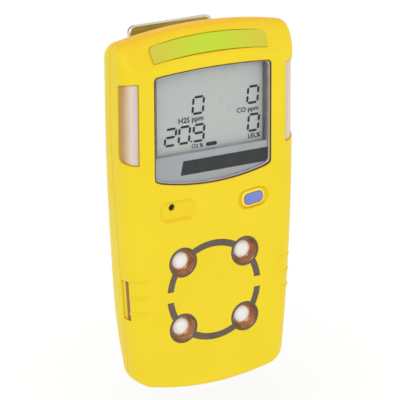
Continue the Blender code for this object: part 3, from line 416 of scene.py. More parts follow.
def finish(name, colour, other, roughness, patch, grain, grain_depth, metallic=0.0, coat=0.0):
    """A material whose colour drifts to other in patches, with uneven gloss and a fine moulded grain."""
    material = bpy.data.materials.new(name)
    material.use_nodes = True
    material.diffuse_color = (*colour, 1.0)
    tree = material.node_tree
    place = add_node(tree, "TexCoord").outputs["Object"]
    share = spread(tree, noise(tree, place, patch), 0.0, 1.0)
    smudges = noise(tree, place, patch * 0.4, 5.0, 0.4)
    height = noise(tree, place, grain, 2.0)
    bump = add_node(tree, "Bump", Strength=1.0, Distance=grain_depth * 1e-6, Height=height)
    inputs = tree.nodes["Principled BSDF"].inputs
    feed(tree, inputs["Base Color"], mix_colours(tree, share, colour, other))
    feed(tree, inputs["Roughness"], spread(tree, smudges, max(roughness - 0.05, 0.02), roughness + 0.06))
    feed(tree, inputs["Normal"], bump.outputs["Normal"])
    inputs["Metallic"].default_value = metallic
    inputs["Coat Weight"].default_value = coat
    return material


def top_shaded_plastic(name, colour, other, painted_top_shade):
    """The housing's yellow, with painted shade: it deepens towards orange where it faces up."""
    material = finish(name, colour, other, 0.42, 16.0, 0.4, 5.0)
    tree = material.node_tree
    inputs = tree.nodes["Principled BSDF"].inputs
    inputs["Specular IOR Level"].default_value = 0.22
    normal = node_of(tree, "TEX_COORD").outputs["Normal"]
    # Painted shade: surfaces that face up are mixed towards a deeper orange
    facing_up = add_node(tree, "SeparateXYZ", Vector=normal).outputs["Z"]
    plain = inputs["Base Color"].links[0].from_socket
    share = spread(tree, facing_up, 0.0, 1.0, 0.45, 0.98)
    feed(tree, inputs["Base Color"], mix_colours(tree, share, plain, painted_top_shade))
    return material


def away_from_middle(tree, start, end, patch, drift):
    """The distance from x = 0, as 0 at start to 1 at end in millimetres, made uneven by a noise."""
    place = node_of(tree, "TEX_COORD").outputs["Object"]
    split = add_node(tree, "SeparateXYZ", Vector=place)
    away = maths(tree, "ABSOLUTE", split.outputs["X"])
    share = spread(tree, away, 0.0, 1.0, start * MM, end * MM)
    return maths(tree, "MULTIPLY_ADD", noise(tree, place, patch), drift, share)


def edge_shaded_plastic(name, stops):
    """A lens whose colour runs through the stops, which are (distance from x = 0, colour). Its pale middle is
    its own colour, and the darker, more orange stops at its two edges are painted shade.
    """
    start, first = stops[0]
    end, last = stops[-1]
    material = finish(name, first, last, 0.32, 9.0, 0.6, 4.0)
    tree = material.node_tree
    ramp = add_node(tree, "ValToRGB", Fac=away_from_middle(tree, start, end, 7.0, 0.16))
    marks = ramp.color_ramp.elements
    while len(marks) < len(stops):
        marks.new(0.5)
    for mark, (reach, colour) in zip(marks, stops):
        mark.position = 0.08 + 0.92 * (reach - start) / (end - start)
        mark.color = (*colour, 1.0)
    feed(tree, tree.nodes["Principled BSDF"].inputs["Base Color"], ramp.outputs["Color"])
    return material


def painted_glow_plastic(name, middle, ends):
    """A green lens with a painted glow, as if lit from inside: brightest and greenest about x = 0, and paler
    towards its ends.
    """
    material = finish(name, middle, ends, 0.45, 10.0, 0.5, 3.0)
    tree = material.node_tree
    away = away_from_middle(tree, 0.0, GREEN_HALF_WIDTH, 6.0, 0.12)
    colour = mix_colours(tree, spread(tree, away, 0.0, 1.0, 0.2, 1.0), middle, ends)
    inputs = tree.nodes["Principled BSDF"].inputs
    feed(tree, inputs["Base Color"], colour)
    # Painted glow: the lens gives off a little of its own colour
    feed(tree, inputs["Emission Color"], colour)
    inputs["Emission Strength"].default_value = 0.05
    return material


def brushed(name, colour, other, roughness, along):
    """A metal with fine lines: its grain is stretched along an axis."""
    material = finish(name, colour, other, roughness, 9.0, 0.35, 2.5, 1.0)
    tree = material.node_tree
    stretch = [0.03 if axis == along else 1.0 for axis in "xyz"]
    mapping = add_node(tree, "Mapping", Vector=node_of(tree, "TEX_COORD").outputs["Object"], Scale=stretch)
    lines = noise(tree, mapping.outputs["Vector"], 0.25, 4.0)
    feed(tree, node_of(tree, "BUMP").inputs["Height"], lines)
    return material


def clear_plastic(name):
    """A clear window: it lets the light through, and mirrors a little at a slant."""
    material = bpy.data.materials.new(name)
    material.use_nodes = True
    tree = material.node_tree
    tree.nodes.remove(tree.nodes["Principled BSDF"])
    place = add_node(tree, "TexCoord").outputs["Object"]
    smudges = noise(tree, place, 8.0, 5.0, 0.5)
    clear = add_node(tree, "BsdfTransparent", Color=(0.96, 0.97, 0.97, 1.0))
    gloss = add_node(tree, "BsdfGlossy", Roughness=spread(tree, smudges, 0.03, 0.09))
    slant = add_node(tree, "LayerWeight", Blend=0.5).outputs["Facing"]
    mirror = spread(tree, maths(tree, "POWER", slant, 5.0), 0.012, 1.0, 0.0, 1.0)
    mix = add_node(tree, "MixShader", Fac=mirror)
    feed(tree, mix.inputs[1], clear.outputs["BSDF"])
    feed(tree, mix.inputs[2], gloss.outputs["BSDF"])
    feed(tree, tree.nodes["Material Output"].inputs["Surface"], mix.outputs["Shader"])
    return material


def make_materials():
    made = {name: finish(name, *values) for name, values in PLAIN.items()}
    made.update((name, brushed(name, *values)) for name, values in METALS.items())
    made["yellow_plastic"] = top_shaded_plastic("yellow_plastic", *YELLOW)
    made["lit_lens"] = painted_glow_plastic("lit_lens", *GREEN)
    made["frosted_lens"] = edge_shaded_plastic("frosted_lens", FROSTED_SHADE_STOPS)
    made["clear_window"] = clear_plastic("clear_window")
    return made


MATERIALS = make_materials()


# Mesh tools


def new():
    return bmesh.new()


def evaluated(item):
    """The item's mesh with its modifiers applied."""
    graph = bpy.context.evaluated_depsgraph_get()
    return bpy.data.meshes.new_from_object(item.evaluated_get(graph))


def apply_all(item):
    """Puts the modified mesh in place of the item's own, and drops the modifiers."""
    bpy.context.view_layer.update()
    made = evaluated(item)
    item.modifiers.clear()
    old = item.data
    item.data = made
    bpy.data.meshes.remove(old)


def linked(name, data):
    """A new scene object that holds the data."""
    item = bpy.data.objects.new(name, data)
    bpy.context.scene.collection.objects.link(item)
    return item


def to_object(name, bm):
    """A scene object in the frame's metres from a bmesh in millimetres."""
    bmesh.ops.translate(bm, verts=bm.verts, vec=-GRIP)
    bmesh.ops.scale(bm, verts=bm.verts, vec=(MM, MM, MM))
    bmesh.ops.recalc_face_normals(bm, faces=bm.faces)
    mesh = bpy.data.meshes.new(name)
    bm.to_mesh(mesh)
    bm.free()
    return linked(name, mesh)


def carve(item, cutter, operation="DIFFERENCE"):
    """Cuts a bmesh or an object from the item, or joins it, and applies the result."""
    helper = to_object("helper", cutter) if isinstance(cutter, bmesh.types.BMesh) else cutter
    modifier = item.modifiers.new("carve", "BOOLEAN")
    modifier.operation = operation
    modifier.object = helper
    apply_all(item)
    bpy.data.objects.remove(helper)


def soften(item, width=0.0, segments=2, angle=35.0, crease=55.0):
    """Rounds the item's edges by width, shades it smooth and keeps its flats flat."""
    if width:
        bevel = item.modifiers.new("edges", "BEVEL")
        bevel.width = width * MM
        bevel.segments = segments
        bevel.limit_method = "ANGLE"
        bevel.angle_limit = math.radians(angle)
        bevel.use_clamp_overlap = True
        apply_all(item)
    for face in item.data.polygons:
        face.use_smooth = True
    item.data.set_sharp_from_angle(angle=math.radians(crease))
    flats = item.modifiers.new("flats", "WEIGHTED_NORMAL")
    flats.keep_sharp = True
    apply_all(item)


def piece(item, material, body="housing"):
    """Gives the item its material and the body it rides on. A name that ends in _skin replaces that node."""
    item.data.materials.clear()
    item.data.materials.append(MATERIALS[material])
    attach(item, body)
    if item.name.endswith("_skin"):
        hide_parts(item.name.removesuffix("_skin"))


def show(item, material, slot=None, body="housing", **edges):
    """Softens the item's edges and makes it a piece."""
    soften(item, **edges)
    piece(item, material, body)


def wall(bm, near, far):
    """Side faces between two loops of as many points."""
    for i in range(len(near)):
        j = (i + 1) % len(near)
        bm.faces.new((near[i], near[j], far[j], far[i]))


def skin(rings, bm=None, closed=False):
    """A closed body through rings of points, with a face on each end unless its last ring meets the first."""
    bm = bm or new()
    loops = [[bm.verts.new(point) for point in ring] for ring in rings]
    pairs = list(zip(loops, loops[1:]))
    if closed:
        pairs.append((loops[-1], loops[0]))
    for near, far in pairs:
        wall(bm, near, far)
    if not closed:
        bm.faces.new(loops[0])
        bm.faces.new(loops[-1])
    return bm


def facing(outline, y):
    """An (x, z) outline placed at a depth."""
    return [Vector((x, y, z)) for x, z in outline]


def stack(levels):
    """Rings from pairs of an (x, z) outline and its depth."""
    return [facing(outline, y) for outline, y in levels]


def rounded_layers(outline_of, front, back, radius, steps=4, mouth=False):
    """Rings of outline_of(grow) from front to back. The front edge is rounded off, or flares for a mouth."""
    rings = []
    sign = 1 if mouth else -1
    if mouth:
        rings.append(facing(outline_of(radius), front - CLEAR))
    for step in range(steps + 1):
        angle = math.pi / 2 * step / steps
        grow = sign * radius * (1 - math.sin(angle))
        rings.append(facing(outline_of(grow), front + radius * (1 - math.cos(angle))))
    rings.append(facing(outline_of(0.0), back))
    return rings


def circle(x, z, radius, sides=40):
    turns = [math.tau * i / sides for i in range(sides)]
    return [(x + radius * math.cos(turn), z + radius * math.sin(turn)) for turn in turns]


def arc(centre, radius, start, sweep, steps=12):
    """Points of an arc about the centre, from an angle in degrees."""
    points = []
    for i in range(steps + 1):
        angle = math.radians(start + sweep * i / steps)
        points.append((centre[0] + radius * math.cos(angle), centre[1] + radius * math.sin(angle)))
    return points


def lathe(profile, x, z, sides=48, bm=None, closed=False):
    """A (radius, y) profile turned about the line that runs back through x, z.

    It starts and ends near that line, or is closed.
    """
    return skin([facing(circle(x, z, radius, sides), y) for radius, y in profile], bm, closed)


def pin(x, z, radius, front, back, bm=None, sides=24):
    """A cylinder that runs back through x, z."""
    return lathe([(AXIS, front), (radius, front), (radius, back), (AXIS, back)], x, z, sides, bm)


def prism(outline, axis, low, high, bm=None):
    """A closed outline extruded along the axis "x", "y" or "z". Its points are (y, z), (x, z) or (x, y)."""
    place = {
        "x": lambda u, v, w: Vector((w, u, v)),
        "y": lambda u, v, w: Vector((u, w, v)),
        "z": lambda u, v, w: Vector((u, v, w)),
    }[axis]
    return skin([[place(u, v, level) for u, v in outline] for level in (low, high)], bm)


def flank(side, outline, inner, outer, bm=None):
    """A (y, z) outline extruded on one side, between two distances from the middle."""
    return prism(outline, "x", *sorted((side * inner, side * outer)), bm)


def rectangle(left, right, low, high):
    return [(left, low), (right, low), (right, high), (left, high)]


def tube(points, radius, sides=12, bm=None, domed=True):
    """A round bar along the points, whose two ends close in a small dome or are flat."""
    rings = []
    last = len(points) - 1
    side = None
    for i, point in enumerate(points):
        ahead = (points[min(i + 1, last)] - points[max(i - 1, 0)]).normalized()
        if side is None:
            side = ahead.orthogonal().normalized()
        side = (side - ahead * side.dot(ahead)).normalized()
        across = ahead.cross(side)
        shapes = [(radius, 0.0)]
        if domed and i == 0:
            shapes = [(radius * 0.45, -radius * 0.8), (radius * 0.85, -radius * 0.45), (radius, 0.0)]
        elif domed and i == last:
            shapes = [(radius, 0.0), (radius * 0.85, radius * 0.45), (radius * 0.45, radius * 0.8)]
        for size, shift in shapes:
            ring = []
            for j in range(sides):
                angle = math.tau * j / sides
                turn = side * math.cos(angle) + across * math.sin(angle)
                ring.append(point + ahead * shift + turn * size)
            rings.append(ring)
    return skin(rings, bm)


def lozenge(x, z, width, height, radius, steps=8, tilt=0.0):
    """A rectangle with round corners about a centre, turned by tilt, as (x, z) points."""
    right = width / 2 - radius
    up = height / 2 - radius
    level = []
    for i, corner in enumerate(((right, up), (-right, up), (-right, -up), (right, -up))):
        level += arc(corner, radius, 90 * i, 90, steps)
    run, rise = math.cos(tilt), math.sin(tilt)
    return [(x + across * run - along * rise, z + across * rise + along * run) for across, along in level]


def button_shape(width, height, radius):
    """A tilted lozenge about the button's centre."""
    return lozenge(BUTTON_X, BUTTON_Z, width, height, radius, 10, BUTTON_TILT)


# The housing's own shape


def half_width(z):
    fall = max(0.0, (TAPER_START - z) / TAPER_START)
    return TOP_HALF_WIDTH - TAPER * fall**2


def seam(z):
    """The depth of the parting line, which lies further forward on the lower half."""
    share = min(1.0, max(0.0, (PARTING_SLOPE_TOP - z) / (PARTING_SLOPE_TOP - PARTING_SLOPE_BOTTOM)))
    return PARTING - PARTING_ADVANCE * share * share * (3 - 2 * share)


def before_seam(depth, z):
    """Squeezes a depth behind the rounded front edge, so that the parting line's depth lands on the seam."""
    if depth <= FRONT_EDGE:
        return depth
    return FRONT_EDGE + (depth - FRONT_EDGE) * (seam(z) - FRONT_EDGE) / (PARTING - FRONT_EDGE)


def rear_depth(z):
    fall = max(0.0, (THIN_START - z) / THIN_START)
    return DEPTH - THINNING * fall**1.5


def quarter(radius, depth):
    """How far a rounded edge of this radius still stands in, at a depth behind the front face."""
    if radius <= 0 or depth >= radius:
        return 0.0
    return radius - math.sqrt(radius**2 - (radius - max(depth, 0.0)) ** 2)


def brow_drop(depth):
    """How much lower the top lies where the brow slopes to the front."""
    reach = BROW_SLOPE * (BROW_DEPTH - depth)
    return math.log(1 + math.exp(BROW_SHARPNESS * reach)) / BROW_SHARPNESS


def crest_fall(depth):
    """How much lower the top lies where it rounds over to the back."""
    reach = min(1.0, max(0.0, (depth - CREST_DEPTH) / (DEPTH - CREST_DEPTH)))
    return CREST_FALL * (1 - (1 - reach**CREST_ROUNDNESS) ** (1 / CREST_ROUNDNESS))


def top_drop(depth):
    return brow_drop(depth) + crest_fall(depth)


def knee_fall(depth):
    """How much lower the brow lies where it rounds over into the front face."""
    return KNEE_FALL * max(0.0, 1 - depth / KNEE_DEPTH) ** 2


def rounded_corner(start, corner, end, steps):
    """Points of a rounded corner, without its two ends."""
    start, corner, end = Vector(start), Vector(corner), Vector(end)
    first = start.lerp(corner, ROUNDING_HOLD)
    second = end.lerp(corner, ROUNDING_HOLD)
    points = []
    for step in range(1, steps):
        t = step / steps
        s = 1 - t
        point = start * s**3 + first * 3 * s**2 * t + second * 3 * s * t**2 + end * t**3
        points.append((point.x, point.y))
    return points


def half_section(side, drop, rise, inset):
    """The right half of a section of the housing, as (x, z) from bottom centre to top centre."""

    def bottom(x):
        return rise + x * x / (2 * BASE_ARCH_RADIUS)

    def top(x):
        return HEIGHT - drop - x * x / (2 * TOP_ARCH_RADIUS)

    def edge(z):
        return half_width(z) - side

    base_steps, low_steps, side_steps, high_steps, top_steps = SECTION_STEPS
    low_radius = max(BASE_CORNER - inset, 2.0)
    high_radius = max(TOP_CORNER - inset, 2.0)
    base_end = edge(rise) - low_radius
    top_end = edge(HEIGHT) - high_radius
    side_low = bottom(edge(rise)) + low_radius
    side_high = top(edge(HEIGHT)) - high_radius
    points = [(base_end * i / base_steps, bottom(base_end * i / base_steps)) for i in range(base_steps + 1)]
    low_corner = (edge(rise), bottom(edge(rise)))
    points += rounded_corner(points[-1], low_corner, (edge(side_low), side_low), low_steps)
    for i in range(side_steps + 1):
        z = side_low + (side_high - side_low) * i / side_steps
        points.append((edge(z), z))
    high_corner = (edge(HEIGHT), top(edge(HEIGHT)))
    points += rounded_corner(points[-1], high_corner, (top_end, top(top_end)), high_steps)
    for i in range(top_steps + 1):
        x = top_end * (1 - i / top_steps)
        points.append((x, top(x)))
    return points


def front_sections(inset, depths):
    """Sections of the front shell, moved in by inset, at depths behind the front face."""
    rows = []
    for depth in depths:
        side = inset + quarter(FRONT_EDGE - inset, depth - inset)
        rise = inset + quarter(BASE_EDGE - inset, depth - inset)
        slope = brow_drop(depth - BROW_INSET_SHARE * inset)
        drop = inset + slope + crest_fall(depth) + knee_fall(depth - inset)
        half = half_section(side, drop, rise, inset)
        rows.append([Vector((x, before_seam(depth, z), z)) for x, z in half])
    return rows


def rim_section(inset, offset):
    """The section that both shells share, moved in by inset, at an offset behind the parting line."""
    half = half_section(inset, inset + top_drop(PARTING), inset, inset)
    return [Vector((x, seam(z) + offset, z)) for x, z in half]


def rim_sections(turn):
    """The rounded edge and the lip of a shell. turn is -1 for the front shell and 1 for the rear one."""
    return [
        rim_section(0.09, turn * (SEAM_GAP / 2 + 0.07)),
        rim_section(SEAM_ROUND, turn * SEAM_GAP / 2),
        rim_section(LIP_WIDTH, turn * SEAM_GAP / 2),
        rim_section(LIP_WIDTH, turn * LIP_OFFSET),
    ]


def rear_sections(inset, offset, count=12):
    """Sections of the rear shell, moved in by inset, from an offset behind the parting line to the back."""
    rows = []
    for turn in range(count + 1):
        curl = 1 - math.cos(math.pi / 2 * turn / count)
        share = math.sin(math.pi / 2 * turn / count)
        side = inset + (REAR_EDGE - inset) * curl
        rise = inset + (REAR_EDGE - inset) * 0.5 * curl
        start = PARTING + offset
        drop = inset + top_drop(start + (DEPTH - start) * share) * (1 - inset / CREST_FALL)
        row = []
        for x, z in half_section(side, drop, rise, inset):
            start = seam(z) + offset
            row.append(Vector((x, start + (rear_depth(z) - inset - start) * share, z)))
        rows.append(row)
    return rows


def loft(rows):
    """A closed body through half sections that each mirror in x, with ruled ends."""
    bm = new()
    rings = []
    for row in rows:
        right = [bm.verts.new(point) for point in row]
        left = [bm.verts.new((-point.x, point.y, point.z)) for point in row[1:-1]]
        rings.append(right + left[::-1])
    for near, far in zip(rings, rings[1:]):
        wall(bm, near, far)
    for ring in (rings[0], rings[-1]):
        for i in range(len(rows[0]) - 1):
            corners = (ring[i], ring[i + 1], ring[-i - 1], ring[-i] if i else None)
            bm.faces.new(list(dict.fromkeys(corner for corner in corners if corner)))
    return bm


def window_outline(grow):
    """The display opening, as (x, z) points: straight sides, and an arched top and bottom."""
    half = WINDOW_HALF_WIDTH + grow
    low = WINDOW_BOTTOM - grow
    high = WINDOW_TOP + grow
    steps = 10
    shares = [step / steps for step in range(steps)]
    inner = [half * share for share in shares if half * share < half - WINDOW_CORNER - 0.5]
    points = [(x, low - WINDOW_BOTTOM_FALL * (1 - (x / half) ** 2)) for x in inner]
    low_start = (half - WINDOW_CORNER, low - 0.1)
    low_end = (half, low + WINDOW_CORNER)
    high_start = (half, high - WINDOW_CORNER)
    high_end = (half - WINDOW_CORNER, high + 0.1)
    points += [low_start, *rounded_corner(low_start, (half, low), low_end, 6), low_end]
    points += [high_start, *rounded_corner(high_start, (half, high), high_end, 6), high_end]
    for share in shares[-2::-1]:
        points.append((half * share, high + WINDOW_TOP_RISE * (1 - share**2)))
    return points + [(-x, z) for x, z in reversed(points) if x > 0]


def side_lens_outline(grow):
    """The side lens as (y, z) points: its edge on the side face is shorter than its front edge."""
    back = SIDE_LENS_BACK + grow
    low = SIDE_LENS_BOTTOM - grow
    high = SIDE_LENS_TOP + grow
    low_corner = (back, low + SIDE_LENS_BACK_RISE)
    low_start = (back - SIDE_LENS_CORNER, low_corner[1] - 0.5)
    low_end = (back, low_corner[1] + 1.3)
    high_corner = (back, high - SIDE_LENS_BACK_FALL)
    high_start = (back, high_corner[1] - 0.5)
    high_end = (back - 0.5, high_corner[1] + 0.08)
    outline = [(-CLEAR, low), (SIDE_LENS_FLAT, low), low_start]
    outline += [*rounded_corner(low_start, low_corner, low_end, 8), low_end, high_start]
    outline += [*rounded_corner(high_start, high_corner, high_end, 4), high_end]
    return outline + [(SIDE_LENS_FLAT, high), (-CLEAR, high)]


def top_lens_rings(grow_and_height):
    """Rings of the top lens on the sloping brow, each grown and lifted off the brow as listed."""
    low = Vector((0.0, *TOP_LENS_LOW))
    high = Vector((0.0, *TOP_LENS_HIGH))
    up = (high - low).normalized()
    normal = Vector((0.0, -up.z, up.y))
    shares = [i / 10 for i in range(9)] + [0.85, 0.9, 0.93, 0.955, 0.975, 0.99, 1.0]
    shares = [-share for share in reversed(shares[1:])] + shares
    rings = []
    for grow, height in grow_and_height:
        ring = []
        for base, half, arch, corner, turn in (
            (low, TOP_LENS_HALF_WIDTHS[0], TOP_LENS_ARCH[0], TOP_LENS_CORNER * 0.3, 1),
            (high, TOP_LENS_HALF_WIDTHS[1], TOP_LENS_ARCH[1], TOP_LENS_CORNER, -1),
        ):
            for share in shares:
                near_end = max(0.0, abs(share) * half - half + corner) / corner
                fall = arch * share**2 - turn * corner * (1 - math.sqrt(1 - near_end**2))
                point = base + Vector(((half + grow) * share * turn, 0, 0)) + up * (-turn * grow - fall)
                ring.append(point + normal * height)
        rings.append(ring)
    return rings


def seal_outline(side, grow):
    """Half of the sensor ring's arc. side is 1 for the upper half and -1 for the lower one."""
    outer = RING_RADIUS + grow
    inner = RING_RADIUS - RING_WIDTH - grow
    steps = 40
    points = []
    for radius, order in ((outer, range(steps + 1)), (inner, range(steps, -1, -1))):
        start = math.asin((RING_BREAK / 2 - grow) / radius)
        for i in order:
            angle = start + (math.pi - 2 * start) * i / steps
            points.append((radius * math.cos(angle), RING_HEIGHT + side * radius * math.sin(angle)))
    return points


def slot_outline(side, z):
    """The docking slot at a height, as (x, y, z) points: deep at its front, then a ledge back to the seam."""
    face = half_width(z)
    corners = [
        (OUTSIDE, SLOT_FRONT),
        (face - SLOT_DEPTH, SLOT_FRONT),
        (face - SLOT_DEPTH, SLOT_FRONT + 0.5),
        (face - SLOT_LEDGE_DEPTH - 0.35, SLOT_LEDGE - 0.4),
        (face - SLOT_LEDGE_DEPTH, SLOT_LEDGE),
        (face - SLOT_END_DEPTH, PARTING),
        (OUTSIDE, PARTING),
    ]
    return [Vector((side * x, y, z)) for x, y in corners]


def port_places():
    """The centres of the four ports: the lower two, then the upper two, each from left to right."""
    sides = (-1, 1)
    return [(right * PORT_OFFSET, RING_HEIGHT + up * PORT_OFFSET) for up in sides for right in sides]


def screw_places():
    """Each housing screw's x and z, on the left and then on the right."""
    return [(side * x, z) for x, z in SCREW_PLACES for side in (-1, 1)]


# Shells


def grip_ribs():
    """Three low ridges on each side of the front, which run out over the rounded edge."""
    bm = new()
    count = 12
    for z in RIB_HEIGHTS:
        for side in (-1, 1):
            points = []
            for i in range(count + 1):
                x = RIB_INNER + (RIB_OUTER - RIB_INNER) * i / count
                sink = RIB_RADIUS * (0.35 + 0.65 * (1 - math.sin(math.pi * (0.08 + 0.84 * i / count))))
                surface = quarter(FRONT_EDGE, half_width(z) - x)
                points.append(Vector((side * x, surface + sink, z)))
            tube(points, RIB_RADIUS, 12, bm)
    return bm


def button_moat():
    """The soft recess round the button, whose sides curve in to a flat floor."""
    width, height = BUTTON_RECESS_SIZE
    steps = 8
    rings = [facing(button_shape(width, height, height / 2 - 0.01), -CLEAR)]
    for step in range(steps + 1):
        share = step / steps
        shrink = 2 * BUTTON_RECESS_ROUND * share
        depth = BUTTON_RECESS_DEPTH * (1 - (1 - share) ** 2) ** 0.8
        outline = button_shape(width - shrink, height - shrink, (height - shrink) / 2 - 0.01)
        rings.append(facing(outline, depth if step else -0.01))
    return skin(rings)


def buzzer_dish():
    """The shallow dish about the buzzer's hole, which has no edge to it."""
    width, height = BUZZER_PAD_SIZE
    steps = 9
    rings = []
    for step in range(steps + 1):
        share = step / steps
        grow = 0.8 - 1.4 * share
        depth = BUZZER_PAD_DEPTH * (0.1 * share + 0.9 * math.sin(math.pi * share / 2) ** 1.3)
        size = (width + 2 * grow, height + 2 * grow, BUZZER_PAD_CORNER + 0.7 * grow)
        outline = lozenge(BUZZER_PAD_X, BUZZER_PAD_Z, *size)
        if not rings:
            rings.append(facing(outline, -CLEAR))
        rings.append(facing(outline, depth - 0.01))
    return skin(rings)


def front_openings():
    """The cutter for the window, the four ports and the buzzer's hole, each with a rounded mouth."""
    inner_face = WALL + 1
    bm = skin(rounded_layers(window_outline, 0.0, inner_face, 0.45, 5, True))
    wide = PORT_RADIUS + 0.4
    for x, z in port_places():
        skin(rounded_layers(lambda grow: circle(x, z, wide + grow), 0.0, inner_face, 0.1, 2, True), bm)

    def hole(grow):
        return circle(BUZZER_X, BUZZER_HOLE_Z, BUZZER_HOLE_RADIUS + grow, 24)

    return skin(rounded_layers(hole, BUZZER_PAD_DEPTH, inner_face, 0.15, 3, True), bm)


def side_openings():
    """The cutter for the side lenses and the docking slots."""
    bm = new()
    for side in (-1, 1):
        flank(side, side_lens_outline(0.0), SIDE_LENS_EDGE, OUTSIDE, bm)
        skin([slot_outline(side, SLOT_BOTTOM), slot_outline(side, SLOT_TOP)], bm)
    return bm


def front_shell():
    outside = front_sections(0.0, FRONT_DEPTHS)
    rim = [rim_section(0.0, -SEAM_GAP / 2 - SEAM_ROUND), *rim_sections(-1), rim_section(WALL, -LIP_OFFSET)]
    inside = front_sections(WALL, (FRONT_EDGE, 3.8, 2.6, WALL))
    shell = to_object("front_shell_skin", loft(outside + rim + inside))
    width, height = BUTTON_SIZE
    carve(shell, grip_ribs(), "UNION")
    carve(shell, front_openings())
    carve(shell, seal_grooves())
    carve(shell, button_moat())
    carve(shell, buzzer_dish())
    hole = button_shape(width + 2 * BUTTON_GAP, height + 2 * BUTTON_GAP, BUTTON_CORNER + BUTTON_GAP)
    carve(shell, prism(hole, "y", -1, WALL + 1))
    carve(shell, side_openings())
    carve(shell, skin(top_lens_rings(TOP_LENS_POCKET)))
    show(shell, "yellow_plastic")


def rear_shell():
    outside = rear_sections(0.0, SEAM_GAP / 2 + SEAM_ROUND)
    inside = rear_sections(WALL, LIP_OFFSET, 6)
    shell = to_object("rear_shell_skin", loft(outside[::-1] + rim_sections(1) + inside))
    holes = new()
    bosses = new()
    for x, z in screw_places():
        back = rear_depth(z)
        profile = [
            (AXIS, seam(z) + 1), (SCREW_HOLE, seam(z) + 1), (SCREW_HOLE, back - SCREW_SEAT),
            (SCREW_WELL, back - SCREW_SEAT), (SCREW_WELL, back - 0.35), (SCREW_WELL + 0.35, back + 0.05),
            (SCREW_WELL + 0.55, back + CLEAR), (AXIS, back + CLEAR),
        ]
        lathe(profile, x, z, 32, holes)
        pin(x, z, BOSS_RADIUS, seam(z) + 0.5, back - 1.5, bosses, 32)
    for z in CLIP_SCREW_HEIGHTS:
        pin(0, z, SCREW_HOLE, DEPTH - 3, DEPTH + 1, holes)
    back = rear_depth(IR_HEIGHT)
    radius = IR_RADIUS + 0.1
    profile = [
        (AXIS, PARTING), (radius, PARTING), (radius, back - 0.3), (radius + 0.5, back + 0.2),
        (radius + 0.5, back + CLEAR), (AXIS, back + CLEAR),
    ]
    lathe(profile, 0, IR_HEIGHT, 40, holes)
    half = CHARGE_HALF_WIDTH + CHARGE_GAP
    port = rectangle(-half, half, CHARGE_FRONT - CHARGE_GAP, CHARGE_BACK + CHARGE_GAP)
    prism(port, "z", -CLEAR, 5, holes)
    carve(shell, bosses, "UNION")
    carve(shell, holes)
    show(shell, "yellow_plastic")


def slot_shade_strips():
    """The dark strip behind the front wall of each docking slot: painted shade, where the slot's deep part lies
    in shade.
    """
    for name, side in (("left_slot_shade_strip", -1), ("right_slot_shade_strip", 1)):
        rings = []
        for z in (SLOT_BOTTOM + CHARGE_GAP, SLOT_TOP - CHARGE_GAP):
            # Painted shade: a dark strip laid where the slot lies in shade
            rings.append([Vector((side * (half_width(z) - inset), y, z)) for inset, y in SHADE_STRIP_CORNERS])
        show(to_object(name, skin(rings)), "slot_painted_shade", "black_plastic", width=0.1)


# Lenses and display


def lenses():
    depths = [depth + SIDE_LENS_RECESS for depth in SIDE_LENS_DEPTHS]
    for name, side in (("left_alarm_lens", -1), ("right_alarm_lens", 1)):
        lens = to_object(name + "_skin", loft(front_sections(SIDE_LENS_RECESS, depths)))
        carve(lens, flank(side, side_lens_outline(-0.2), SIDE_LENS_EDGE + 0.2, OUTSIDE), "INTERSECT")
        show(lens, "frosted_lens", width=0.22, segments=3)
    lens = to_object("top_alarm_lens_skin", skin(top_lens_rings(TOP_LENS_RINGS)))
    show(lens, "lit_lens", crease=80.0)


def segment_outline(x, z, letter):
    """The outline of one segment of a slanted seven-segment figure about x, z."""
    half_w = DIGIT_WIDTH / 2 - DIGIT_STROKE / 2
    half_h = DIGIT_HEIGHT / 2 - DIGIT_STROKE / 2
    start, end = (Vector((right * half_w, up * half_h)) for right, up in SEGMENT_ENDS[letter])
    along = (end - start).normalized()
    across = Vector((-along.y, along.x)) * DIGIT_STROKE / 2
    gap = DIGIT_STROKE * 0.3
    start, end = start + along * gap, end - along * gap
    nose = along * DIGIT_STROKE * 0.45
    upper = [start + nose + across, end - nose + across]
    lower = [end - nose - across, start + nose - across]
    points = (start, *upper, end, *lower)
    return [(x + point.x + DIGIT_SLANT * point.y, z + point.y) for point in points]


def surround(name, profile, material):
    """A ring round the display opening, from a closed profile of (grow, depth) points."""
    rings = stack((window_outline(grow), depth) for grow, depth in profile)
    show(to_object(name, skin(rings, closed=True)), material, "printed_frame", crease=50.0)


def window_and_frame():
    glass = rounded_layers(lambda grow: window_outline(grow - 0.62), 0.8, 1.15, 0.08, 3)
    show(to_object("display_window_skin", skin(glass)), "clear_window", crease=80.0)
    # A dark ring over the opening's wall paints the wall's shade
    surround("window_wall_shade", WALL_SHADE_RING, "window_wall_shade")
    surround("window_bevel", BEVEL, "bezel_wall")
    half = LCD_HALF_WIDTH
    bezel = to_object("display_frame_skin", prism(window_outline(0.3), "y", BEZEL_BACK, LCD_FRONT - 0.1))
    carve(bezel, prism(window_outline(-0.1), "y", BEZEL_FRONT, BEZEL_BACK + 0.3), "UNION")
    carve(bezel, prism(rectangle(-half, half, LCD_BOTTOM, LCD_TOP), "y", 0, 5))
    show(bezel, "silver_print", "printed_frame")
    inner = half - GASKET_WIDTHS[0]
    high = LCD_TOP - GASKET_WIDTHS[1]
    arch = [(-half, LCD_BOTTOM), (-inner, LCD_BOTTOM), (-inner, high), (inner, high)]
    arch += [(inner, LCD_BOTTOM), (half, LCD_BOTTOM), (half, LCD_TOP), (-half, LCD_TOP)]
    gasket = to_object("lcd_gasket", prism(arch, "y", BEZEL_FRONT + 0.04, LCD_FRONT - 0.08))
    show(gasket, "lcd_gasket", "printed_frame")
    low, high = BAND_HEIGHTS
    right = WINDOW_HALF_WIDTH - 0.25
    outline = [(BAND_LEFT, low), (right, low), (right, high), (BAND_LEFT + BAND_SLANT, high)]
    band = to_object("printed_band", prism(outline, "y", BEZEL_FRONT - 0.06, BEZEL_FRONT + 0.04))
    show(band, "black_print", "printed_frame")


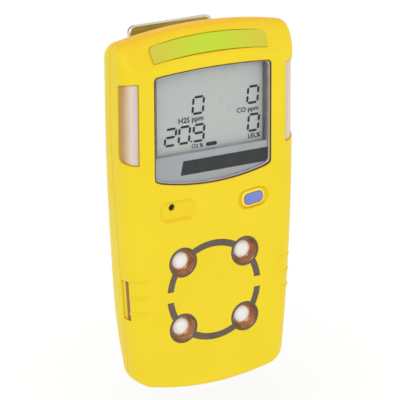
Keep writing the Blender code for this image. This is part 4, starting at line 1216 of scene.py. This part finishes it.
def panel_and_readout():
    edge = LCD_HALF_WIDTH + 0.4
    outline = rectangle(-edge, edge, PANEL_BOTTOM, LCD_TOP + 0.3)
    panel = to_object("display_panel_skin", prism(outline, "y", LCD_FRONT, PANEL_BACK))
    show(panel, "lcd_glass", width=0.1, segments=1)
    outlines = [segment_outline(x, z, letter) for text, x, z in READOUTS for letter in SEGMENTS[text]]
    outlines += [circle(*POINT_PLACE, 0.3, 12), lozenge(*BATTERY_MARK, 0.5, 5)]
    figures = new()
    for outline in outlines:
        prism(outline, "y", LCD_FRONT - 0.05, LCD_FRONT + 0.02, figures)
    piece(to_object("display_readout", figures), "lcd_segments")
    for number, (text, x, z, width) in enumerate(UNIT_MARKS, 1):
        unit_mark(f"unit_mark_{number}", text, x, z, width)


def unit_mark(name, text, x, z, width):
    """A plain unit beside a figure, set as bold letters of a given width."""
    font = bpy.data.curves.new(name, "FONT")
    font.body = text
    font.align_x = "CENTER"
    font.align_y = "CENTER"
    font.size = 1.0
    font.extrude = 0.02
    font.offset = 0.022
    font.resolution_u = 3
    letters = linked(name + "_letters", font)
    bpy.context.view_layer.update()
    mesh = evaluated(letters)
    bpy.data.objects.remove(letters)
    reach = max(vertex.co.x for vertex in mesh.vertices) - min(vertex.co.x for vertex in mesh.vertices)
    scale = width / reach
    place = Matrix.Translation(Vector((x, LCD_FRONT - 0.03, z)) - GRIP) @ Matrix.Rotation(math.pi / 2, 4, "X")
    mesh.transform(Matrix.Scale(MM, 4) @ place @ Matrix.Diagonal((scale, scale, 1.0, 1.0)))
    piece(linked(name, mesh), "lcd_segments")


# Front controls and sensor ports


def seal_grooves():
    """What the two seals fill, with a little room: an arc and two collars each."""
    arcs = new()
    for side in (-1, 1):
        prism(seal_outline(side, GROOVE_GAP), "y", -CLEAR, 1.2, arcs)
    cut = to_object("groove_arcs", arcs)
    collars = new()
    for x, z in port_places():
        prism(circle(x, z, COLLAR_RADIUS + GROOVE_GAP), "y", -CLEAR - 0.1, 1.3, collars)
    carve(cut, collars, "UNION")
    return cut


def seal(name, side, ports):
    """One rubber seal: half of the ring's arc, and a collar round each of its two ports."""
    arcs = rounded_layers(lambda grow: seal_outline(side, grow), -0.08, 1.0, 0.22, 3)
    item = to_object(name + "_skin", skin(arcs))
    collars = new()
    holes = new()
    bore = PORT_RADIUS - 0.05
    profile = [
        (bore, 1.3), (COLLAR_RADIUS, 1.3), (COLLAR_RADIUS, 0.15), (COLLAR_RADIUS - 0.08, -0.05),
        (COLLAR_RADIUS - 0.25, -0.16), (PORT_RADIUS + 0.25, -0.18), (PORT_RADIUS + 0.06, -0.08), (bore, 0.15),
    ]
    for x, z in ports:
        lathe(profile, x, z, 48, collars, closed=True)
        prism(circle(x, z, PORT_RADIUS + 0.3), "y", -CLEAR, 3, holes)
    carve(item, holes)
    carve(item, collars, "UNION")
    show(item, "seal_rubber", crease=60.0)


def port(gas, x, z):
    """The liner of a port, and the domed filter at its floor."""
    cup = [
        (PORT_RADIUS - 0.08, 0.05), (PORT_RADIUS + 0.25, 0.6), (PORT_RADIUS + 0.25, 2.0), (3.4, 2.75),
        (2.4, 2.75), (2.55, 2.32), (2.9, 2.2), (3.2, 1.95), (3.45, 1.5), (3.6, 0.9), (3.72, 0.3),
    ]
    show(to_object(f"{gas}_cup", lathe(cup, x, z, 56, closed=True)), "cup_liner", "seal_rubber", crease=70.0)
    dome = [
        (AXIS, 1.55), (0.9, 1.57), (1.7, 1.66), (2.3, 1.83), (2.65, 2.05), (2.8, 2.3), (2.8, 2.6),
        (AXIS, 2.6),
    ]
    disc = to_object(f"{gas}_filter_skin", lathe(dome, x, z))
    show(disc, "white_membrane", "white_filter", crease=70.0)


def seals_and_ports():
    places = port_places()
    seal("upper_port_seal", 1, places[2:])
    seal("lower_port_seal", -1, places[:2])
    for gas, (x, z) in zip(GASES, places):
        port(gas, x, z)


def button():
    """The rubber button with its stem, and the rim that it moves in."""
    width, height = BUTTON_SIZE

    def layers(grow_and_depth):
        for grow, depth in grow_and_depth:
            yield button_shape(width + 2 * grow, height + 2 * grow, BUTTON_CORNER + grow), depth

    dome = ((-1.1, -0.56), (-0.5, -0.53), (-0.22, -0.46), (-0.08, -0.33), (-0.02, -0.15), (0.0, 0.1))
    flange = ((0.0, 2.3), (0.9, 2.4), (0.9, 3.1), (-0.6, 3.2))
    cap = to_object("push_button_skin", skin(stack(layers(dome + flange))))
    carve(cap, pin(BUTTON_X, BUTTON_Z, STEM_RADIUS, 3.0, STEM_BACK), "UNION")
    show(cap, "button_rubber", body="button", crease=50.0)
    outer = ((0.75, 0.92), (0.7, 0.15), (0.6, -0.12), (0.45, -0.26), (0.25, -0.28))
    hole = ((0.08, -0.18), (0.08, 0.92))
    rim = to_object("button_rim_skin", skin(stack(layers(outer + hole)), closed=True))
    show(rim, "yellow_rubber", crease=70.0)


# Back: screws and clip


def screw(name, x, z, seat, tip, radius, height):
    """A pan-head screw seen from behind, with a cross recess."""
    profile = [
        (AXIS, tip), (SCREW_SHAFT * 0.6, tip), (SCREW_SHAFT, tip + 0.5), (SCREW_SHAFT, seat), (radius, seat),
        (radius, seat + height * 0.45), (radius * 0.93, seat + height * 0.75),
        (radius * 0.75, seat + height * 0.93), (radius * 0.4, seat + height), (AXIS, seat + height),
    ]
    item = to_object(name + "_skin", lathe(profile, x, z, 40))
    arm = radius * 0.58
    half = radius * 0.13
    for turned in (False, True):
        rings = []
        for scale, depth in ((1.0, 1.0), (1.0, 0.02), (0.55, -height * 0.6)):
            reach, side = (half, arm * scale) if turned else (arm * scale, half)
            ring = rectangle(x - reach, x + reach, z - side, z + side)
            rings.append(facing(ring, seat + height + depth + 0.003 * turned))
        carve(item, skin(rings))
    show(item, "screw_steel", "steel", width=0.04, angle=40.0)


def screws():
    for number, (x, z) in enumerate(screw_places(), 1):
        seat = rear_depth(z) - SCREW_SEAT + 0.02
        screw(f"housing_screw_{number}", x, z, seat, seam(z) - 3.7, 2.05, SCREW_HEAD)
    for number, z in enumerate(CLIP_SCREW_HEIGHTS, 1):
        screw(f"clip_screw_{number}", 0, z, DEPTH + 1.32, DEPTH - 2, 1.9, 0.9)


def bent_sheet(profile, half_width_at, thickness, steps):
    """A bent sheet: (y, z) points of its back face, and its half width at each distance along them."""
    points = [Vector(point) for point in profile]
    along = 0.0
    rings = []
    for i, point in enumerate(points):
        if i:
            along += (point - points[i - 1]).length
        ahead = (points[min(i + 1, len(points) - 1)] - points[max(i - 1, 0)]).normalized()
        normal = Vector((-ahead.y, ahead.x))
        if normal.x > 0:
            normal = -normal
        inner = point + normal * thickness
        half = half_width_at(along)
        across = [half * (2 * j / steps - 1) for j in range(steps + 1)]
        ring = [Vector((x, point.x, point.y)) for x in across]
        ring += [Vector((x, inner.x, inner.y)) for x in reversed(across)]
        rings.append(ring)
    return skin(rings)


def smooth_path(corners, radius, steps):
    """The corners' path with each bend rounded."""
    points = [Vector(corner) for corner in corners]
    path = [points[0]]
    for before, corner, after in zip(points, points[1:], points[2:]):
        reach = min(radius, (corner - before).length * 0.45, (after - corner).length * 0.45)
        start = corner + (before - corner).normalized() * reach
        end = corner + (after - corner).normalized() * reach
        for step in range(steps + 1):
            t = step / steps
            path.append(start * (1 - t) ** 2 + corner * 2 * t * (1 - t) + end * t**2)
    path.append(points[-1])
    return [(point.x, point.y) for point in path]


def divided(start, end, parts):
    """The start of each of so many equal parts of a straight line."""
    (y, z), (y2, z2) = start, end
    return [(y + (y2 - y) * i / parts, z + (z2 - z) * i / parts) for i in range(parts)]


def lever_path():
    """The lever's back face from the thumb end down to the jaw, as (y, z) points."""
    corners = [(y, CLIP_PIN_Z + rise) for y, rise in CLIP_BENDS]
    corners += [(24.6, GRIP.z + 0.9), (23.5, GRIP.z - 1.0), (GRIP.y + 0.05, GRIP.z - 1.7)]
    path = smooth_path(corners, 1.6, 6)
    top = path[0][1]
    path = divided(path[0], path[1], 9) + path[1:]
    fine = []
    for start, end in zip(path, path[1:]):
        length = math.hypot(end[0] - start[0], end[1] - start[1])
        parts = max(1, round(length / 0.8)) if top - start[1] > 1 else 1
        fine += divided(start, end, parts)
    return fine + [path[-1]]


def lever_half_width(along):
    """The lever's half width at a distance from the thumb end, which has rounded corners and then a neck."""
    width = CLIP_THUMB_HALF_WIDTH - quarter(CLIP_CORNER, along)
    narrow = min(1.0, max(0.0, (along - CLIP_THUMB_LENGTH) / CLIP_NECK_LENGTH))
    narrow = narrow * narrow * (3 - 2 * narrow)
    return width + (CLIP_JAW_HALF_WIDTH - CLIP_THUMB_HALF_WIDTH) * narrow


def lever_ribs():
    """Two long stiffening ribs, and four ridges across the thumb end."""
    bm = new()
    (high_y, high_rise), (low_y, low_rise) = CLIP_BENDS[4:6]
    for side in (-1, 1):
        points = []
        for i in range(9):
            rise = LEVER_RIB_TOP - LEVER_RIB_LENGTH * i / 8
            back = high_y + (low_y - high_y) * min(1.0, (high_rise - rise) / (high_rise - low_rise))
            back += min(0.0, (rise - low_rise) * 0.14)
            sink = 0.63 if i in (0, 8) else 0.38
            points.append(Vector((side * LEVER_RIB_X, back - sink, CLIP_PIN_Z + rise)))
        tube(points, LEVER_RIB_RADIUS, 14, bm)
    for i in range(4):
        fall = THUMB_RIDGE_PITCH * i
        back = CLIP_BENDS[1][0] - 0.6 * fall / 7.0 - 0.12
        reach = THUMB_RIDGE_HALF_WIDTH
        line = [Vector((x, back, CLIP_PIN_Z + THUMB_RIDGE_TOP - fall)) for x in (-reach, -5, 0, 5, reach)]
        tube(line, THUMB_RIDGE_RADIUS, 12, bm)
    return bm


def pin_bore(reach):
    """The hole for the clip's pin."""
    ends = [Vector((x, CLIP_PIN_Y, CLIP_PIN_Z)) for x in (-reach, reach)]
    return tube(ends, CLIP_PIN_RADIUS + CLIP_PIN_GAP, 24, domed=False)


def lever():
    item = to_object("clip_lever_skin", bent_sheet(lever_path(), lever_half_width, CLIP_SHEET * 0.97, 16))
    jaw = CLIP_JAW_HALF_WIDTH
    ear = [(27.3, CLIP_PIN_Z - 5.5), (27.5, CLIP_PIN_Z + 4.5)]
    ear += arc((CLIP_PIN_Y, CLIP_PIN_Z), LEVER_EAR_RADIUS, 60, 240)
    for side in (-1, 1):
        carve(item, flank(side, ear, jaw - 0.01, jaw - CLIP_SHEET), "UNION")
    carve(item, lever_ribs(), "UNION")
    carve(item, pin_bore(jaw + 1))
    show(item, "polished_steel", "steel", "clip", width=0.16, angle=42.0)


def lever_rim():
    """The polished bead round the lever's thumb end, in a lighter copy of the lever's steel that paints its
    highlight.
    """
    (top_y, top_rise), (neck_y, neck_rise) = CLIP_BENDS[:2]
    lean = (top_y - neck_y) / (top_rise - neck_rise)
    reach = CLIP_THUMB_HALF_WIDTH - CLIP_RIM_INSET
    top = CLIP_PIN_Z + top_rise - CLIP_RIM_INSET
    half = [(reach, z) for z in (top - 7.0, top - 5.0, top - CLIP_CORNER)]
    half += arc((reach - CLIP_CORNER, top - CLIP_CORNER), CLIP_CORNER, 0, 90, 6)[1:]
    path = half + [(x, top) for x in (6.0, 0.0, -6.0)] + [(-x, z) for x, z in reversed(half)]
    points = [Vector((x, top_y - 0.55 + (z - CLIP_PIN_Z - top_rise) * lean, z)) for x, z in path]
    rim = to_object("clip_rim", tube(points, CLIP_RIM_RADIUS, 14))
    show(rim, "polished_steel_painted_highlight", "steel", "clip", crease=70.0)


def bracket():
    """The plate on the housing's back, with two ears for the pin and a row of teeth at the grip."""
    half = BRACKET_HALF_WIDTH
    middle = (BRACKET_BOTTOM + BRACKET_TOP) / 2
    outline = lozenge(0, middle, 2 * half, BRACKET_TOP - BRACKET_BOTTOM, BRACKET_CORNER)
    plate = to_object("clip_bracket_skin", prism(outline, "y", BRACKET_FRONT, BRACKET_BACK))
    ear = [(BRACKET_FRONT + 0.2, CLIP_PIN_Z + 6.0), (BRACKET_FRONT + 0.2, CLIP_PIN_Z - 6.0)]
    ear += arc((CLIP_PIN_Y, CLIP_PIN_Z), BRACKET_EAR_RADIUS, -70, 140)
    for side in (-1, 1):
        carve(plate, flank(side, ear, half * 0.999, half - 1.0), "UNION")
    teeth = new()
    for i in range(9):
        x = TOOTH_PITCH * (i - 4)
        tooth = [(x - 0.5, BRACKET_BACK - 0.1), (x + 0.5, BRACKET_BACK - 0.1), (x, BRACKET_BACK + 0.25)]
        prism(tooth, "z", GRIP.z - 1.9, GRIP.z + 0.4, teeth)
    carve(plate, teeth, "UNION")
    carve(plate, pin_bore(half + 1))
    holes = new()
    for z in CLIP_SCREW_HEIGHTS:
        pin(0, z, 1.1, DEPTH - 1, DEPTH + 3, holes)
    carve(plate, holes)
    show(plate, "polished_steel", "steel", width=0.14, angle=40.0)


def clip_pin():
    reach = CLIP_JAW_HALF_WIDTH + 0.5
    radius = CLIP_PIN_RADIUS
    half = ((0.45, radius), (0.35, 1.55), (0.08, 1.45), (0.0, 0.6))
    places = [(inset - reach, size) for inset, size in reversed(half)]
    places += [(reach - inset, size) for inset, size in half]
    rings = []
    for x, size in places:
        rings.append([Vector((x, y, z)) for y, z in circle(CLIP_PIN_Y, CLIP_PIN_Z, size, 28)])
    show(to_object("clip_pin_skin", skin(rings)), "screw_steel", "steel", crease=50.0)


def clip_spring():
    """A torsion spring round the pin: one leg on the bracket, the coil, and one leg on the lever."""
    coil = CLIP_PIN_RADIUS + 0.3 + SPRING_WIRE + 0.25
    end = SPRING_TURNS * SPRING_PITCH / 2
    per_turn = 28
    points = [Vector((-end, -1.75, SPRING_LEGS[0] * (1 - i / 4))) for i in range(3)]
    for i in range(int(SPRING_TURNS * per_turn) + 1):
        angle = math.pi + math.tau * i / per_turn
        x = -end + SPRING_PITCH * i / per_turn
        points.append(Vector((x, coil * math.cos(angle), coil * math.sin(angle))))
    points += [Vector((end, 1.6, SPRING_LEGS[1] / 2)), Vector((end, 1.6, SPRING_LEGS[1]))]
    centre = Vector((0, CLIP_PIN_Y, CLIP_PIN_Z))
    spring = to_object("clip_spring_skin", tube([centre + point for point in points], SPRING_WIRE, 10))
    show(spring, "screw_steel", "steel", "clip", crease=80.0)


def finish_inner_nodes():
    """The CAD nodes that stay get finished materials by their name."""
    for name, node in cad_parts.items():
        matches = [key for key in INNER_NODES if name.startswith(key)]
        material = "sensor_can" if name.endswith("_sensor") else None
        if matches:
            material = INNER_NODES[max(matches, key=len)]
        if material:
            for slot in node.material_slots:
                slot.material = MATERIALS[material]


# Studio and camera


def studio():
    bm = new()
    bmesh.ops.create_grid(bm, x_segments=2, y_segments=2, size=6.0)
    mesh = bpy.data.meshes.new("studio_floor")
    bm.to_mesh(mesh)
    bm.free()
    floor = linked("studio_floor", mesh)
    floor.location = (0, 0, cad_box[0][2] - FLOOR_DROP)
    mesh.materials.append(finish("studio_paper", *PAPER))
    world = bpy.data.worlds.new("studio")
    bpy.context.scene.world = world
    world.use_nodes = True
    sky = world.node_tree.nodes["Background"]
    sky.inputs["Color"].default_value = (1.0, 1.0, 1.0, 1.0)
    sky.inputs["Strength"].default_value = SKY_STRENGTH
    for name, place, size, power in LAMPS:
        lamp = bpy.data.lights.new(name, "AREA")
        lamp.shape = "DISK"
        lamp.size = size
        lamp.energy = power
        item = linked(name, lamp)
        item.location = place
        item.rotation_euler = (-Vector(place)).to_track_quat("-Z", "Y").to_euler()
    bpy.context.scene.view_settings.view_transform = "Standard"


def camera():
    """The photograph's camera, which looks at the sensor ring's centre from CAMERA_DISTANCE away."""
    turn = Matrix.Rotation(-math.radians(CAMERA_YAW), 4, "Z")
    turn @= Matrix.Rotation(math.radians(90 - CAMERA_PITCH), 4, "X")
    turn @= Matrix.Rotation(math.radians(CAMERA_ROLL), 4, "Z")
    ring = Vector((0, 0, RING_HEIGHT)) - GRIP
    turn.translation = (ring + turn @ Vector((*CAMERA_SHIFT, CAMERA_DISTANCE))) * MM
    lens = bpy.data.cameras.new("camera")
    lens.lens = CAMERA_LENS
    lens.sensor_width = 36.0
    lens.clip_start = 0.01
    lens.clip_end = 50.0
    item = linked("camera", lens)
    item.matrix_world = turn
    bpy.context.scene.camera = item


studio()
camera()
front_shell()
rear_shell()
slot_shade_strips()
lenses()
window_and_frame()
panel_and_readout()
seals_and_ports()
button()
screws()
lever()
lever_rim()
bracket()
clip_pin()
clip_spring()
finish_inner_nodes()
